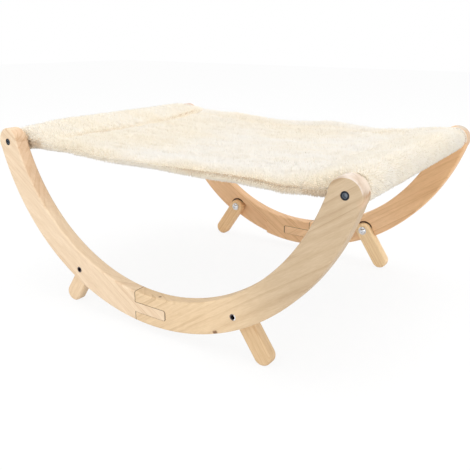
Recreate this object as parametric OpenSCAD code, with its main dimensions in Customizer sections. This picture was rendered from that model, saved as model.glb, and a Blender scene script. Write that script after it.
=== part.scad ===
// Low cat hammock: two crescent side arcs carry two cross rods with a plush sling between them.
// Four short legs stand the arcs clear of the floor, and fold into them so that the bed can rock.
// Millimetres, +Z up, X along the arcs, front at -Y, origin on the floor under the middle.

/* [Side arcs] */
// Distance between the axes of the two cross rods
rod_span = 467; // [430:1:500]
// Depth over the outer faces of the two side arcs
frame_depth = 380; // [320:1:440]
// Height of the cross rods' axes above the floor
rod_height = 204; // [190:1:220]
// Thickness of the arc boards
board_t = 18; // [16:0.5:21]
// Space under the lowest point of the arcs when the legs are out
ground_gap = 9; // [6:0.5:14]
// Height of an arc board at its middle
arc_waist = 38; // [35:0.5:42]
// Width of the arms where they meet their round tops
arm_w = 34; // [30:0.5:37]
// How far the round arm tops swell past the width of the arms
arm_swell = 0.5; // [0.4:0.1:1.5]
// Round-over along the board edges
edge_r = 2.5; // [1.5:0.25:3.5]

/* [Finger joint] */
// Length of the fingers at the bottom of an arc
finger_len = 46; // [36:1:56]
// Radius of the finger corners, as the cutter leaves them
finger_corner_r = 2.5; // [1.5:0.25:3.5]
// Glue line between the two halves of an arc
glue_gap = 0.3; // [0.1:0.05:0.4]

/* [Legs] */
// Distance of a leg pivot from the middle of its arc
pivot_x = 117; // [108:1:126]
// Distance of a leg pivot from the outer edge of its arc
pivot_inset = 15; // [14:0.5:17]
// Width of a leg
leg_w = 22; // [18:0.5:22]
// Thickness of a leg
leg_t = 14; // [12:0.5:16]
// Round-over along the leg edges
leg_edge_r = 3; // [2:0.25:4]
// Splay of a leg from the vertical when it stands on the floor
leg_splay = 34; // [28:1:38]
// Depth that the round foot is cut flat
foot_flat = 0.6; // [0.3:0.1:1]
// Depth of the leg recess in an arc's inner face
recess_depth = 7; // [5:0.5:9]
// Clearance between a leg and the walls of its recess
recess_gap = 0.5; // [0.3:0.1:0.5]
// Clearance between a leg and the floor of its recess
seat_gap = 0.3; // [0.2:0.05:0.5]

/* [Cross rods] */
// Diameter of a cross rod
rod_d = 22; // [20:0.5:24]

/* [Hardware] */
// Diameter of the bolts and leg screws
bolt_d = 5; // [4:0.5:6]
// Radial running clearance of a leg on its screw
pivot_fit = 0.06; // [0.03:0.01:0.1]
// Radial clearance of hardware in drilled holes and threads
drill_fit = 0.1; // [0.05:0.05:0.2]
// Diameter of a rod bolt's head
bolt_head_d = 8.5; // [8:0.1:10]
// Height of a rod bolt's head
bolt_head_h = 5; // [4:0.5:6]
// Depth of a rod bolt's head below the arc's outer face
bolt_head_sink = 0.4; // [0.2:0.1:1]
// Width across the flats of the hex sockets
hex_flats = 4; // [3:0.5:4]
// Depth of the hex sockets
hex_depth = 2; // [1.5:0.25:2.5]
// Thread length of a rod bolt inside its rod
bolt_reach = 14; // [10:1:18]
// Diameter of a leg screw's domed head
screw_head_d = 10; // [9:0.5:11]
// Height of a leg screw's domed head
screw_head_h = 3.4; // [3:0.2:4.5]
// Diameter of a leg washer
washer_d = 12; // [11.5:0.5:14]
// Thickness of a leg washer
washer_t = 1; // [0.8:0.1:1.5]
// Outside diameter of a leg insert
leg_insert_d = 7.5; // [7:0.25:8.5]
// Wood left between a leg insert and the floor of the leg recess
insert_floor = 1; // [0.5:0.25:2]
// Depth from an arc's outer face to the end of its leg screw
screw_end_depth = 2.5; // [1.5:0.25:4]
// Outside diameter of a rod insert
rod_insert_d = 8; // [7.5:0.25:10]
// Length of a rod insert
rod_insert_len = 20; // [19:1:26]

/* [Sling] */
// Thickness of one plush layer of the sling, with its pile
plush_t = 10; // [7:0.5:12]
// Slack between a rod and its sleeve
sleeve_slack = 0.3; // [0.2:0.05:0.6]
// Thickness of the plush over a rod, where its pile stands up
sleeve_top_t = 9; // [6:0.5:11]
// Thickness of the plush under a rod, where it is pulled tight
sleeve_low_t = 3; // [2:0.5:5]
// Distance of a sleeve's seam from its rod's axis
sleeve_w = 55; // [46:1:66]
// Gap between a sleeve's end and the arc
sleeve_end_gap = 3; // [1:0.5:6]
// Distance of the sleeve seams below the rods' axes
seam_drop = 2.5; // [0:0.25:5]
// Thickness of the cloth along a sleeve's seam, where the thread draws it in
seam_t = 18; // [13:0.5:19]
// Sag of the sling's front and rear edges in the middle of the span
edge_sag = 3.5; // [1:0.5:8]
// Further sag of the sling at its centre
belly_sag = 4; // [1:0.5:10]
// Distance that the sling's front and rear edges are drawn in at mid span
edge_draw = 2; // [0:0.5:8]
// Width of the rolled edge along the sling's front and rear
edge_roll = 13; // [9:0.5:18]
// Height of a layer's lip where the two layers are sewn together
lip_t = 2; // [1:0.25:4]
// Gap left at a sewn seam
seam_gap = 0.3; // [0.2:0.05:0.5]

/* [Hidden] */
pine = "#e3c394";
rear_pine = "#dcb07a";
black_steel = "#25282c";
zinc = "#c9ccd0";
plush = "#f3e6cf";

CORNERS = ["front_left", "front_right", "rear_left", "rear_right"];
CORNER_PARTS = ["leg", "leg_screw", "leg_washer", "leg_insert", "rod_bolt", "rod_insert"];

$fn = 64;
// How far cutters run past the faces that they cut
past = 2;

// Both edges of an arc are circles: they pass the waist at its middle and clear each rod by half
// the arm's width.
half_span = rod_span / 2;
arm_half = arm_w / 2;
arm_tip_r = arm_half + arm_swell;
rise = rod_height - ground_gap;
outer_r = (half_span ^ 2 + rise ^ 2 - arm_half ^ 2) / (2 * (rise - arm_half));
outer_z = ground_gap + outer_r;
waist_rise = rise - arc_waist;
inner_r = (half_span ^ 2 + waist_rise ^ 2 - arm_half ^ 2) / (2 * (waist_rise + arm_half));
inner_z = ground_gap + arc_waist + inner_r;
inside_depth = frame_depth - 2 * board_t;
// Larger than any arc, for cutters
reach = rod_span + frame_depth;

// The middle finger takes a third of the waist.
finger_low = ground_gap + arc_waist / 3;
finger_high = ground_gap + arc_waist * 2 / 3;

// A leg is as long as its splay needs, and folds until it lies along the arc's outer edge.
pivot_r = outer_r - pivot_inset;
pivot_z = outer_z - sqrt(pivot_r ^ 2 - pivot_x ^ 2);
leg_half = leg_w / 2;
leg_len = (pivot_z - leg_half + foot_flat) / cos(leg_splay);
fold_slope = asin(pivot_x / pivot_r) - asin(leg_len / (2 * pivot_r));
fold_travel = 90 + leg_splay - fold_slope;
leg_back = recess_depth - seat_gap;
leg_front = leg_back - leg_t;
recess_half = leg_half + recess_gap;

// Hardware along the leg pivot and the rod axis, measured outwards from an arc's inner face
leg_insert_len = board_t - recess_depth - insert_floor;
washer_front = leg_front - drill_fit - washer_t;
hex_r = hex_flats / 2 / cos(30);
bolt_r = bolt_d / 2;
bolt_seat = board_t - bolt_head_sink - bolt_head_h;

// The sling, measured from its middle
sleeve_bore_r = rod_d / 2 + sleeve_slack;
sleeve_r = sleeve_bore_r + (sleeve_top_t + sleeve_low_t) / 2;
sleeve_lift = (sleeve_top_t - sleeve_low_t) / 2;
sleeve_len = inside_depth - 2 * sleeve_end_gap;
seam_x = half_span - sleeve_w;
seam_z = rod_height - seam_drop;
sling_half = sleeve_len / 2;
span_steps = 20;
roll_steps = 4;
width_steps = 8;

// Places what is drawn in an arc's own plane, where X runs along the arc, Y is up and Z points
// outwards from its inner face. The rear arc is the front one turned round.
module front_side() {
    translate([0, board_t - frame_depth / 2, 0])
        rotate([90, 0, 0])
            children();
}

module rear_side() {
    rotate([0, 0, 180])
        front_side()
            children();
}

module at_corner(corner) {
    if (corner == "front_left") front_side() mirror([1, 0, 0]) children();
    if (corner == "front_right") front_side() children();
    if (corner == "rear_left") rear_side() children();
    if (corner == "rear_right") rear_side() mirror([1, 0, 0]) children();
}

// Half outline of a disc with a rounded rim, for revolving
module round_rim(r, t, rim) {
    square([r - rim, t]);
    translate([r - rim, rim]) square([rim, t - 2 * rim]);
    intersection() {
        union() {
            translate([r - rim, rim]) circle(rim);
            translate([r - rim, t - rim]) circle(rim);
        }
        square([r, t]);
    }
}

// Half outline of the cutter that leaves a rounded rim round a hole, for revolving
module round_hole(r, t, rim) {
    translate([0, -past]) square([r, t + 2 * past]);
    difference() {
        translate([r - past, -past]) square([rim + past, t + 2 * past]);
        translate([r, rim]) square([2 * rim, t - 2 * rim]);
        translate([r + rim, rim]) circle(rim);
        translate([r + rim, t - rim]) circle(rim);
    }
}

// The part of an arc's plane between the two rods, as seen from the centre of its outer edge
module between_rods() {
    outwards = reach / outer_r;
    side_x = half_span * outwards;
    side_z = outer_z + (rod_height - outer_z) * outwards;
    polygon([[0, outer_z], [side_x, side_z], [reach, -reach], [-reach, -reach], [-side_x, side_z]]);
}

module arc_band() {
    intersection() {
        difference() {
            translate([0, outer_z, 0]) rotate_extrude() round_rim(outer_r, board_t, edge_r);
            translate([0, inner_z, 0]) rotate_extrude() round_hole(inner_r, board_t, edge_r);
        }
        translate([0, 0, -past]) linear_extrude(board_t + 2 * past) between_rods();
    }
}

module arm_tip(side) {
    translate([side * half_span, rod_height, 0])
        rotate_extrude()
            round_rim(arm_tip_r, board_t, edge_r);
}

// The left half's share of an arc, grown by a gap
module tongue_outline(gap) {
    root_x = -finger_len / 2 + gap;
    tip_x = finger_len / 2 + gap;
    corner = finger_corner_r + gap;
    low = finger_low - gap;
    high = finger_high + gap;
    translate([root_x - reach, -reach]) square([reach, 2 * reach]);
    translate([root_x - past, low]) square([tip_x - corner - root_x + past, high - low]);
    translate([tip_x - 2 * corner, low + corner]) square([2 * corner, high - low - 2 * corner]);
    for (y = [low + corner, high - corner])
        translate([tip_x - corner, y]) circle(corner);
}

module tongue_part(gap) {
    translate([0, 0, -past]) linear_extrude(board_t + 2 * past) tongue_outline(gap);
}

function turned(angle) = [sin(angle), -cos(angle)];
function sideways(angle) = [cos(angle), sin(angle)];

// The space that a leg swings through, open at the arc's outer edge
module recess_outline() {
    pivot = [pivot_x, pivot_z];
    fold_angle = leg_splay - fold_travel;
    tip = pivot + leg_len * turned(fold_angle);
    stop = pivot + recess_half * sideways(leg_splay);
    stop_end = stop + 2 * leg_len * turned(leg_splay);
    shelf = pivot - recess_half * sideways(fold_angle);
    shelf_end = tip - recess_half * sideways(fold_angle);
    translate(pivot) circle(recess_half);
    translate(tip) circle(recess_half);
    polygon([
        stop, stop_end, [tip.x - recess_half, stop_end.y], [tip.x - recess_half, tip.y],
        tip, shelf_end, shelf, pivot
    ]);
}

// Everything that is cut into the right half of an arc for its leg and its rod bolt
module half_cuts() {
    translate([0, 0, -past]) linear_extrude(recess_depth + past) recess_outline();
    translate([pivot_x, pivot_z, -past]) cylinder(r = bolt_r + drill_fit, h = board_t + 2 * past);
    translate([pivot_x, pivot_z, board_t - leg_insert_len])
        cylinder(r = leg_insert_d / 2 + drill_fit, h = leg_insert_len + past);
    translate([half_span, rod_height, -past]) cylinder(r = bolt_r + drill_fit, h = board_t + 2 * past);
    translate([half_span, rod_height, bolt_seat])
        cylinder(r = bolt_head_d / 2 + drill_fit, h = board_t);
}

module tongue_half(shade) {
    color(shade) difference() {
        intersection() {
            union() {
                arc_band();
                arm_tip(-1);
            }
            tongue_part(0);
        }
        mirror([1, 0, 0]) half_cuts();
    }
}

module socket_half(shade) {
    color(shade) difference() {
        union() {
            arc_band();
            arm_tip(1);
        }
        tongue_part(glue_gap);
        half_cuts();
    }
}

// A flat leg with round ends and rounded edges, its pivot at the origin and its foot towards -Y
module leg_blank() {
    rotate([90, 0, 0]) linear_extrude(leg_len) {
        round_rim(leg_half, leg_t, leg_edge_r);
        mirror([1, 0]) round_rim(leg_half, leg_t, leg_edge_r);
    }
    rotate_extrude(angle = 180) round_rim(leg_half, leg_t, leg_edge_r);
    translate([0, -leg_len, 0])
        rotate([0, 0, 180])
            rotate_extrude(angle = 180)
                round_rim(leg_half, leg_t, leg_edge_r);
}

module leg() {
    color(pine) difference() {
        translate([pivot_x, pivot_z, leg_front]) rotate([0, 0, leg_splay]) leg_blank();
        translate([pivot_x, pivot_z, leg_front - past])
            cylinder(r = bolt_r + pivot_fit, h = leg_t + 2 * past);
        translate([0, -reach, leg_front - past]) cube([reach, reach, leg_t + 2 * past]);
    }
}

module hex_socket() {
    cylinder(r = hex_r, h = hex_depth + past, $fn = 6);
}

// Domed head on the washer, shank through the leg and the arc into the insert
module leg_screw() {
    dome_r = (screw_head_h ^ 2 + (screw_head_d / 2) ^ 2) / (2 * screw_head_h);
    head_seat = washer_front - drill_fit;
    color(zinc) translate([pivot_x, pivot_z, head_seat]) {
        difference() {
            intersection() {
                translate([0, 0, dome_r - screw_head_h]) sphere(dome_r);
                translate([0, 0, -screw_head_h]) cylinder(r = screw_head_d, h = screw_head_h);
            }
            translate([0, 0, hex_depth - screw_head_h]) mirror([0, 0, 1]) hex_socket();
        }
        cylinder(r = bolt_r, h = board_t - screw_end_depth - head_seat);
    }
}

module leg_washer() {
    color(zinc) translate([pivot_x, pivot_z, washer_front]) difference() {
        cylinder(d = washer_d, h = washer_t);
        translate([0, 0, -past]) cylinder(r = bolt_r + drill_fit, h = washer_t + 2 * past);
    }
}

module leg_insert() {
    color(zinc) translate([pivot_x, pivot_z, board_t - leg_insert_len]) difference() {
        cylinder(d = leg_insert_d, h = leg_insert_len);
        translate([0, 0, -past]) cylinder(r = bolt_r + drill_fit, h = leg_insert_len + 2 * past);
    }
}

module rod_bolt() {
    color(black_steel) translate([half_span, rod_height, 0]) {
        translate([0, 0, -bolt_reach]) cylinder(r = bolt_r, h = bolt_reach + bolt_seat);
        difference() {
            translate([0, 0, bolt_seat]) cylinder(d = bolt_head_d, h = bolt_head_h);
            translate([0, 0, bolt_seat + bolt_head_h - hex_depth]) hex_socket();
        }
    }
}

module rod_insert() {
    color(zinc) translate([half_span, rod_height, -rod_insert_len]) difference() {
        cylinder(d = rod_insert_d, h = rod_insert_len);
        translate([0, 0, -past]) cylinder(r = bolt_r + drill_fit, h = rod_insert_len + 2 * past);
    }
}

// Turned wooden rod between the arcs, drilled at both ends for its inserts
module rod(side) {
    color(pine) translate([side * half_span, 0, rod_height]) rotate([90, 0, 0]) difference() {
        cylinder(d = rod_d, h = inside_depth, center = true);
        for (turn = [0, 180])
            rotate([turn, 0, 0])
                translate([0, 0, inside_depth / 2 - rod_insert_len])
                    cylinder(r = rod_insert_d / 2 + drill_fit, h = rod_insert_len + past);
    }
}

// Where a line from a point touches a circle of radius r about the origin
function touch(point, r, side) =
    let (angle = atan2(point.y, point.x) + side * acos(r / norm(point)))
    r * [cos(angle), sin(angle)];

// Drop shape: a circle of radius r, lifted above the rod's axis, drawn out to a flat end
module drop(r, lift, end_x, end_half) {
    above = [end_x, end_half - seam_drop - lift];
    below = [end_x, -end_half - seam_drop - lift];
    translate([0, lift]) {
        circle(r);
        polygon([[0, 0], touch(above, r, -1), above, below, touch(below, r, 1)]);
    }
}

// Plush loop round a rod, closed by the seam that joins it to the sling
module sleeve(side) {
    end_x = seam_gap - sleeve_w;
    color(plush) translate([side * half_span, 0, rod_height]) rotate([90, 0, 0])
        linear_extrude(sleeve_len, center = true) mirror([side > 0 ? 0 : 1, 0]) difference() {
            drop(sleeve_r, sleeve_lift, end_x, seam_t / 2);
            drop(sleeve_bore_r, 0, end_x + seam_t, seam_gap / 2);
        }
}

// Rows across the sling: the rolled front edge, the flat of the cloth and the rolled rear edge,
// each as a place across the flat and a place across the roll
roll_rows = [for (k = [0 : roll_steps - 1]) cos(90 * k / roll_steps)];
width_rows = concat(
    [for (roll = roll_rows) [-1, -roll]],
    [for (k = [0 : width_steps]) [2 * k / width_steps - 1, 0]],
    [for (k = [roll_steps - 1 : -1 : 0]) [1, roll_rows[k]]]
);

// Middle surface of the sling, flat across its width and raised at its edges, and the thickness of
// a layer there, at a place along the span and a row
function span_drop(u) = 1 - u ^ 2;
function cloth_y(u, row) =
    let (flat_half = sling_half - edge_roll - edge_draw * span_drop(u))
    row[0] * flat_half + row[1] * edge_roll;
function cloth_z(u, row) =
    seam_z - span_drop(u) * (edge_sag + belly_sag * (1 - (cloth_y(u, row) / sling_half) ^ 4));
function layer_t(row) =
    lip_t + (plush_t - seam_gap / 2 - lip_t) * sqrt(1 - row[1] ^ 2);
function cloth_point(u, row, lift) = [u * seam_x, cloth_y(u, row), cloth_z(u, row) + lift];

// One plush layer of the sling as a closed skin, above its middle surface or below it
module sling_layer(side) {
    columns = len(width_rows);
    count = (span_steps + 1) * columns;
    places = [for (i = [0 : span_steps]) for (row = width_rows) [2 * i / span_steps - 1, row]];
    face_lift = side * seam_gap / 2;
    outside = [for (p = places) cloth_point(p[0], p[1], face_lift + side * layer_t(p[1]))];
    inside = [for (p = places) cloth_point(p[0], p[1], face_lift)];
    top_points = side > 0 ? outside : inside;
    low_points = side > 0 ? inside : outside;
    last = columns - 1;
    cells = [for (i = [0 : span_steps - 1]) for (j = [0 : last - 1]) i * columns + j];
    top_faces = [for (a = cells) each [[a, a + 1, a + columns + 1], [a, a + columns + 1, a + columns]]];
    low_faces = [for (f = top_faces) [f[2] + count, f[1] + count, f[0] + count]];
    front = [for (i = [0 : span_steps]) i * columns];
    rear = [for (i = [span_steps : -1 : 0]) i * columns + last];
    left = [for (j = [last : -1 : 0]) j];
    right = [for (j = [0 : last]) span_steps * columns + j];
    rim_faces = [for (run = [front, right, rear, left]) for (k = [0 : len(run) - 2])
        each [[run[k], run[k + 1], run[k + 1] + count], [run[k], run[k + 1] + count, run[k] + count]]];
    color(plush)
        polyhedron(points = concat(top_points, low_points), faces = concat(top_faces, low_faces, rim_faces));
}

module corner_piece(piece) {
    if (piece == "leg") leg();
    if (piece == "leg_screw") leg_screw();
    if (piece == "leg_washer") leg_washer();
    if (piece == "leg_insert") leg_insert();
    if (piece == "rod_bolt") rod_bolt();
    if (piece == "rod_insert") rod_insert();
}

front_side() tongue_half(pine);  // front_left_arc
front_side() socket_half(pine);  // front_right_arc
rear_side() socket_half(rear_pine);  // rear_left_arc
rear_side() tongue_half(rear_pine);  // rear_right_arc
rod(-1);  // left_rod
rod(1);  // right_rod
sleeve(-1);  // left_sleeve
sleeve(1);  // right_sleeve
sling_layer(1);  // sling_top
sling_layer(-1);  // sling_underside
for (corner = CORNERS)
    for (piece = CORNER_PARTS)
        at_corner(corner) corner_piece(piece);
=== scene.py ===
"""Dresses a low cat hammock: pine arcs and folding legs, steel hardware and a plush sling on two rods."""

import logging
import math
from dataclasses import dataclass, field
from enum import Enum
from typing import Any, Sequence

import bmesh
import bpy
import numpy as np
from mathutils import Matrix, Vector

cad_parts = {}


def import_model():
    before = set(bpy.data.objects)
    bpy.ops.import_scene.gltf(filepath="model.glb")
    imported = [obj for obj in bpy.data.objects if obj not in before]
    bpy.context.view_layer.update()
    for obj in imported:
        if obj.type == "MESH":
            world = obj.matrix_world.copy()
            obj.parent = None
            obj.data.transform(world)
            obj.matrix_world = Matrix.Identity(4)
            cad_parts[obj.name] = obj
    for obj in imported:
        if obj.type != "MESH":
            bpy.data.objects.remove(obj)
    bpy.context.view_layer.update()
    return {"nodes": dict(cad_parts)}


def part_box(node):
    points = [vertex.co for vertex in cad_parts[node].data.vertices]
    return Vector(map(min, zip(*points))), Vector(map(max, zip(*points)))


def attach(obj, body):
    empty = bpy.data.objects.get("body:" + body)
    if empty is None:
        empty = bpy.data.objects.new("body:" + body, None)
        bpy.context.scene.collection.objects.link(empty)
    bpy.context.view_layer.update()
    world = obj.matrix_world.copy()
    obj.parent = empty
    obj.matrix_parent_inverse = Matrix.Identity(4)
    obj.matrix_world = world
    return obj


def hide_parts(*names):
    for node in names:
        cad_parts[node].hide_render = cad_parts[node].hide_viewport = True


LOG = logging.getLogger("cat_hammock")
# The name of the map that the tufts carry and their material reads. The name of a map
# that the export's bake keeps
BAKE_MAP = "OFBake"

Colour = tuple[float, float, float]
Point = tuple[float, float, float]
Span = tuple[float, float]
Shape = tuple[np.ndarray, list[tuple[int, ...]]]
Socket = bpy.types.NodeSocket

WHITE: Colour = (1.0, 1.0, 1.0)
# Sums on vectors that give a number
NUMBER_SUMS = ("LENGTH", "DISTANCE", "DOT_PRODUCT")


class Side(Enum):
    """The two ends of the sling, by the sign of their X."""

    LEFT = -1
    RIGHT = 1

    @property
    def word(self) -> str:
        """The side's name as the nodes spell it."""
        return self.name.lower()


class Face(Enum):
    """The two layers of the sling, by the direction that their pile points."""

    TOP = 1
    UNDERSIDE = -1

    @property
    def node(self) -> str:
        """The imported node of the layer."""
        return f"sling_{self.name.lower()}"


def rgba(colour: Colour) -> tuple[float, float, float, float]:
    """A linear colour with full alpha."""
    return (*colour, 1.0)


def smooth_step(low: float, high: float, value: np.ndarray) -> np.ndarray:
    """Eases from 0 at low to 1 at high.

    Args:
        low: Where the rise begins.
        high: Where the rise ends.
        value: Places to read the rise at.

    Returns:
        The eased shares.
    """
    share = np.clip((value - low) / (high - low), 0.0, 1.0)
    return share * share * (3.0 - 2.0 * share)


def bell(value: np.ndarray, middle: float, width: float) -> np.ndarray:
    """A smooth hump of height 1.

    Args:
        value: Places to read the hump at.
        middle: Where the hump peaks.
        width: How far from its middle the hump has mostly died away.

    Returns:
        The hump's heights.
    """
    return np.exp(-(((value - middle) / width) ** 2))


class Graph:
    """A node tree under construction."""

    def __init__(self, tree: bpy.types.NodeTree) -> None:
        """Empties a tree.

        Args:
            tree: The tree to fill.
        """
        self.tree = tree
        tree.nodes.clear()

    def add(self, kind: str, inputs: dict[int | str, Any] | None = None, **settings: Any) -> bpy.types.Node:
        """Adds a node.

        Args:
            kind: The node's class name.
            inputs: Values or sockets for its inputs, by name or number.
            settings: Properties of the node.

        Returns:
            The node.
        """
        node = self.tree.nodes.new(kind)
        for name, value in settings.items():
            setattr(node, name, value)
        self.feed(node, inputs or {})
        return node

    def feed(self, node: bpy.types.Node, inputs: dict[int | str, Any]) -> None:
        """Sets or links a node's inputs.

        Args:
            node: The node.
            inputs: Values or sockets for its inputs, by name or number.
        """
        for key, value in inputs.items():
            if isinstance(value, bpy.types.NodeSocket):
                self.tree.links.new(value, node.inputs[key])
            else:
                node.inputs[key].default_value = value

    def maths(self, operation: str, *values: Any) -> Socket:
        """The result of a sum on numbers or sockets."""
        return self.add("ShaderNodeMath", dict(enumerate(values)), operation=operation).outputs[0]

    def vectors(self, operation: str, *values: Any) -> Socket:
        """The vector or the number that a sum on vectors gives."""
        node = self.add("ShaderNodeVectorMath", dict(enumerate(values)), operation=operation)
        return node.outputs["Value" if operation in NUMBER_SUMS else "Vector"]

    def scaled(self, vector: Socket, factor: Socket) -> Socket:
        """A vector times a number."""
        inputs = {0: vector, "Scale": factor}
        return self.add("ShaderNodeVectorMath", inputs, operation="SCALE").outputs["Vector"]

    def axis(self, vector: Socket, letter: str) -> Socket:
        """One coordinate of a vector."""
        return self.add("ShaderNodeSeparateXYZ", {"Vector": vector}).outputs[letter]

    def place(self) -> Socket:
        """Object coordinates."""
        return self.add("ShaderNodeTexCoord").outputs["Object"]

    def facing(self, way: Point) -> Socket:
        """How squarely the surface faces a given way, from -1 to 1."""
        return self.vectors("DOT_PRODUCT", self.add("ShaderNodeTexCoord").outputs["Normal"], way)

    def noise(self, place: Socket, scale: float, detail: float = 2.0, roughness: float = 0.5) -> Socket:
        """The grey of a noise texture; roughness is the strength of its finer layers."""
        inputs = {"Vector": place, "Scale": scale, "Detail": detail, "Roughness": roughness}
        return self.add("ShaderNodeTexNoise", inputs).outputs["Fac"]

    def fade(self, value: Socket, start: Span, end: Span = (0.0, 1.0), smooth: bool = True) -> Socket:
        """Takes a value from one range to another, and holds it at the ends.

        Args:
            value: The value.
            start: The range that it is read over.
            end: The range that it goes to.
            smooth: Whether it eases in and out.

        Returns:
            The output socket.
        """
        inputs = {
            "Value": value, "From Min": start[0], "From Max": start[1], "To Min": end[0], "To Max": end[1],
        }
        easing = "SMOOTHSTEP" if smooth else "LINEAR"
        return self.add("ShaderNodeMapRange", inputs, interpolation_type=easing).outputs["Result"]

    def mix(self, share: Any, first: Any, second: Any, blend: str = "MIX") -> Socket:
        """A blend of two colours, by the share of the second that shows."""
        inputs = {"Factor": share, 6: first, 7: second}
        return self.add("ShaderNodeMix", inputs, data_type="RGBA", blend_type=blend).outputs[2]

    def tint(self, colour: Socket, other: Any, share: Any = 1.0) -> Socket:
        """A colour multiplied by another, by a share of the way."""
        return self.mix(share, colour, other, "MULTIPLY")

    def ramp(self, share: Socket, stops: Sequence[tuple[float, Colour]]) -> Socket:
        """A colour ramp.

        Args:
            share: Where on the ramp to read.
            stops: Places and colours, in order.

        Returns:
            The colour socket.
        """
        node = self.add("ShaderNodeValToRGB", {"Fac": share})
        elements = node.color_ramp.elements
        while len(elements) < len(stops):
            elements.new(1.0)
        for element, (place, colour) in zip(elements, stops):
            element.position = place
            element.color = rgba(colour)
        return node.outputs["Color"]

    def bump(self, height: Socket, strength: float, distance: float) -> Socket:
        """A normal that follows a height, by how much of it shows and how high it is in metres."""
        inputs = {"Height": height, "Strength": strength, "Distance": distance}
        return self.add("ShaderNodeBump", inputs).outputs["Normal"]

    def named(self, name: str) -> Socket:
        """A number that the geometry carries under a name."""
        node = self.add("GeometryNodeInputNamedAttribute", {"Name": name}, data_type="FLOAT")
        return node.outputs["Attribute"]

    def store(self, geometry: Socket, name: str, value: Socket, kind: str, domain: str) -> Socket:
        """Stores a value on a geometry under a name.

        Args:
            geometry: The geometry.
            name: The attribute's name.
            value: Its value.
            kind: Its data type.
            domain: What carries it, such as points or corners.

        Returns:
            The geometry with its attribute.
        """
        inputs = {"Geometry": geometry, "Name": name, "Value": value}
        node = self.add("GeometryNodeStoreNamedAttribute", inputs, data_type=kind, domain=domain)
        return node.outputs["Geometry"]

    def random(self, low: float, high: float, seed: Socket) -> Socket:
        """A random number between two others, for each point or copy."""
        inputs = {2: low, 3: high, "Seed": seed}
        return self.add("FunctionNodeRandomValue", inputs, data_type="FLOAT").outputs[1]

    def turned(self, rotation: Socket, angle: Socket) -> Socket:
        """A rotation with a turn round its own Z axis before it.

        Args:
            rotation: The rotation.
            angle: The turn.

        Returns:
            The rotation socket.
        """
        inputs = {"Axis": (0.0, 0.0, 1.0), "Angle": angle}
        turn = self.add("FunctionNodeAxisAngleToRotation", inputs).outputs["Rotation"]
        inputs = {"Rotation": rotation, "Rotate By": turn}
        return self.add("FunctionNodeRotateRotation", inputs, rotation_space="LOCAL").outputs["Rotation"]


def new_material(name: str) -> tuple[bpy.types.Material, Graph, bpy.types.Node]:
    """Starts a material with a Principled shader.

    Args:
        name: The material's name.

    Returns:
        The material, its graph and its shader node.
    """
    material = bpy.data.materials.new(name)
    material.use_nodes = True
    graph = Graph(material.node_tree)
    shader = graph.add("ShaderNodeBsdfPrincipled")
    graph.add("ShaderNodeOutputMaterial", {"Surface": shader.outputs["BSDF"]})
    return material, graph, shader


@dataclass(frozen=True)
class WoodMarkOrLightSpot:
    """A pin knot, a dark line, or a spot of painted light on a board."""

    middle: Point
    radius: float
    colour: Colour

    def share(self, graph: Graph, place: Socket) -> Socket:
        """How much of the mark shows at a place; it is soft well past its radius."""
        away = graph.vectors("DISTANCE", place, self.middle)
        return graph.fade(away, (0.5 * self.radius, 2.2 * self.radius), (0.9, 0.0))


@dataclass(frozen=True)
class FacingLightTint:
    """Painted light and shade: a board's colour tinted where its surface faces a given way, above a given
    height.
    """

    tint: Colour
    way: Point
    # How squarely a face looks that way where the painted tint begins to show, and where it shows fully
    turn: Span = (0.55, 0.85)
    # Heights where the painted tint begins to show, and where it shows fully
    rise: Span = (0.11, 0.15)

    def share(self, graph: Graph, place: Socket) -> Socket:
        """How much of the painted tint shows at a place."""
        turned = graph.fade(graph.facing(self.way), self.turn)
        return graph.maths("MULTIPLY", turned, graph.fade(graph.axis(place, "Z"), self.rise))


@dataclass(frozen=True)
class RecessRimShadow:
    """Painted shadow on the upper rim of a leg recess, where the gap over the leg's round end lies in shade.
    """

    pivot_x: float
    pivot_z: float
    colour: Colour = (0.050, 0.016, 0.006)
    # How far the rim is from the leg pivot, and between which distances from the middle plane it lies
    reach: float = 0.0135
    rim: Span = (0.1715, 0.1788)

    def share(self, graph: Graph, place: Socket) -> Socket:
        """1 on the rim, over the leg's round end.

        Args:
            graph: The material's graph.
            place: Object coordinates.

        Returns:
            The share.
        """
        from_pivot = graph.vectors("SUBTRACT", place, (self.pivot_x, 0.0, self.pivot_z))
        away = graph.vectors("LENGTH", graph.vectors("MULTIPLY", from_pivot, (1.0, 0.0, 1.0)))
        upper = graph.fade(graph.maths("DIVIDE", graph.axis(from_pivot, "Z"), away), (0.15, 0.6))
        depth = graph.maths("ABSOLUTE", graph.axis(place, "Y"))
        share = graph.maths("MULTIPLY", upper, graph.maths("LESS_THAN", away, self.reach))
        for side, limit in zip(("GREATER_THAN", "LESS_THAN"), self.rim):
            share = graph.maths("MULTIPLY", share, graph.maths(side, depth, limit))
        return share


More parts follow.
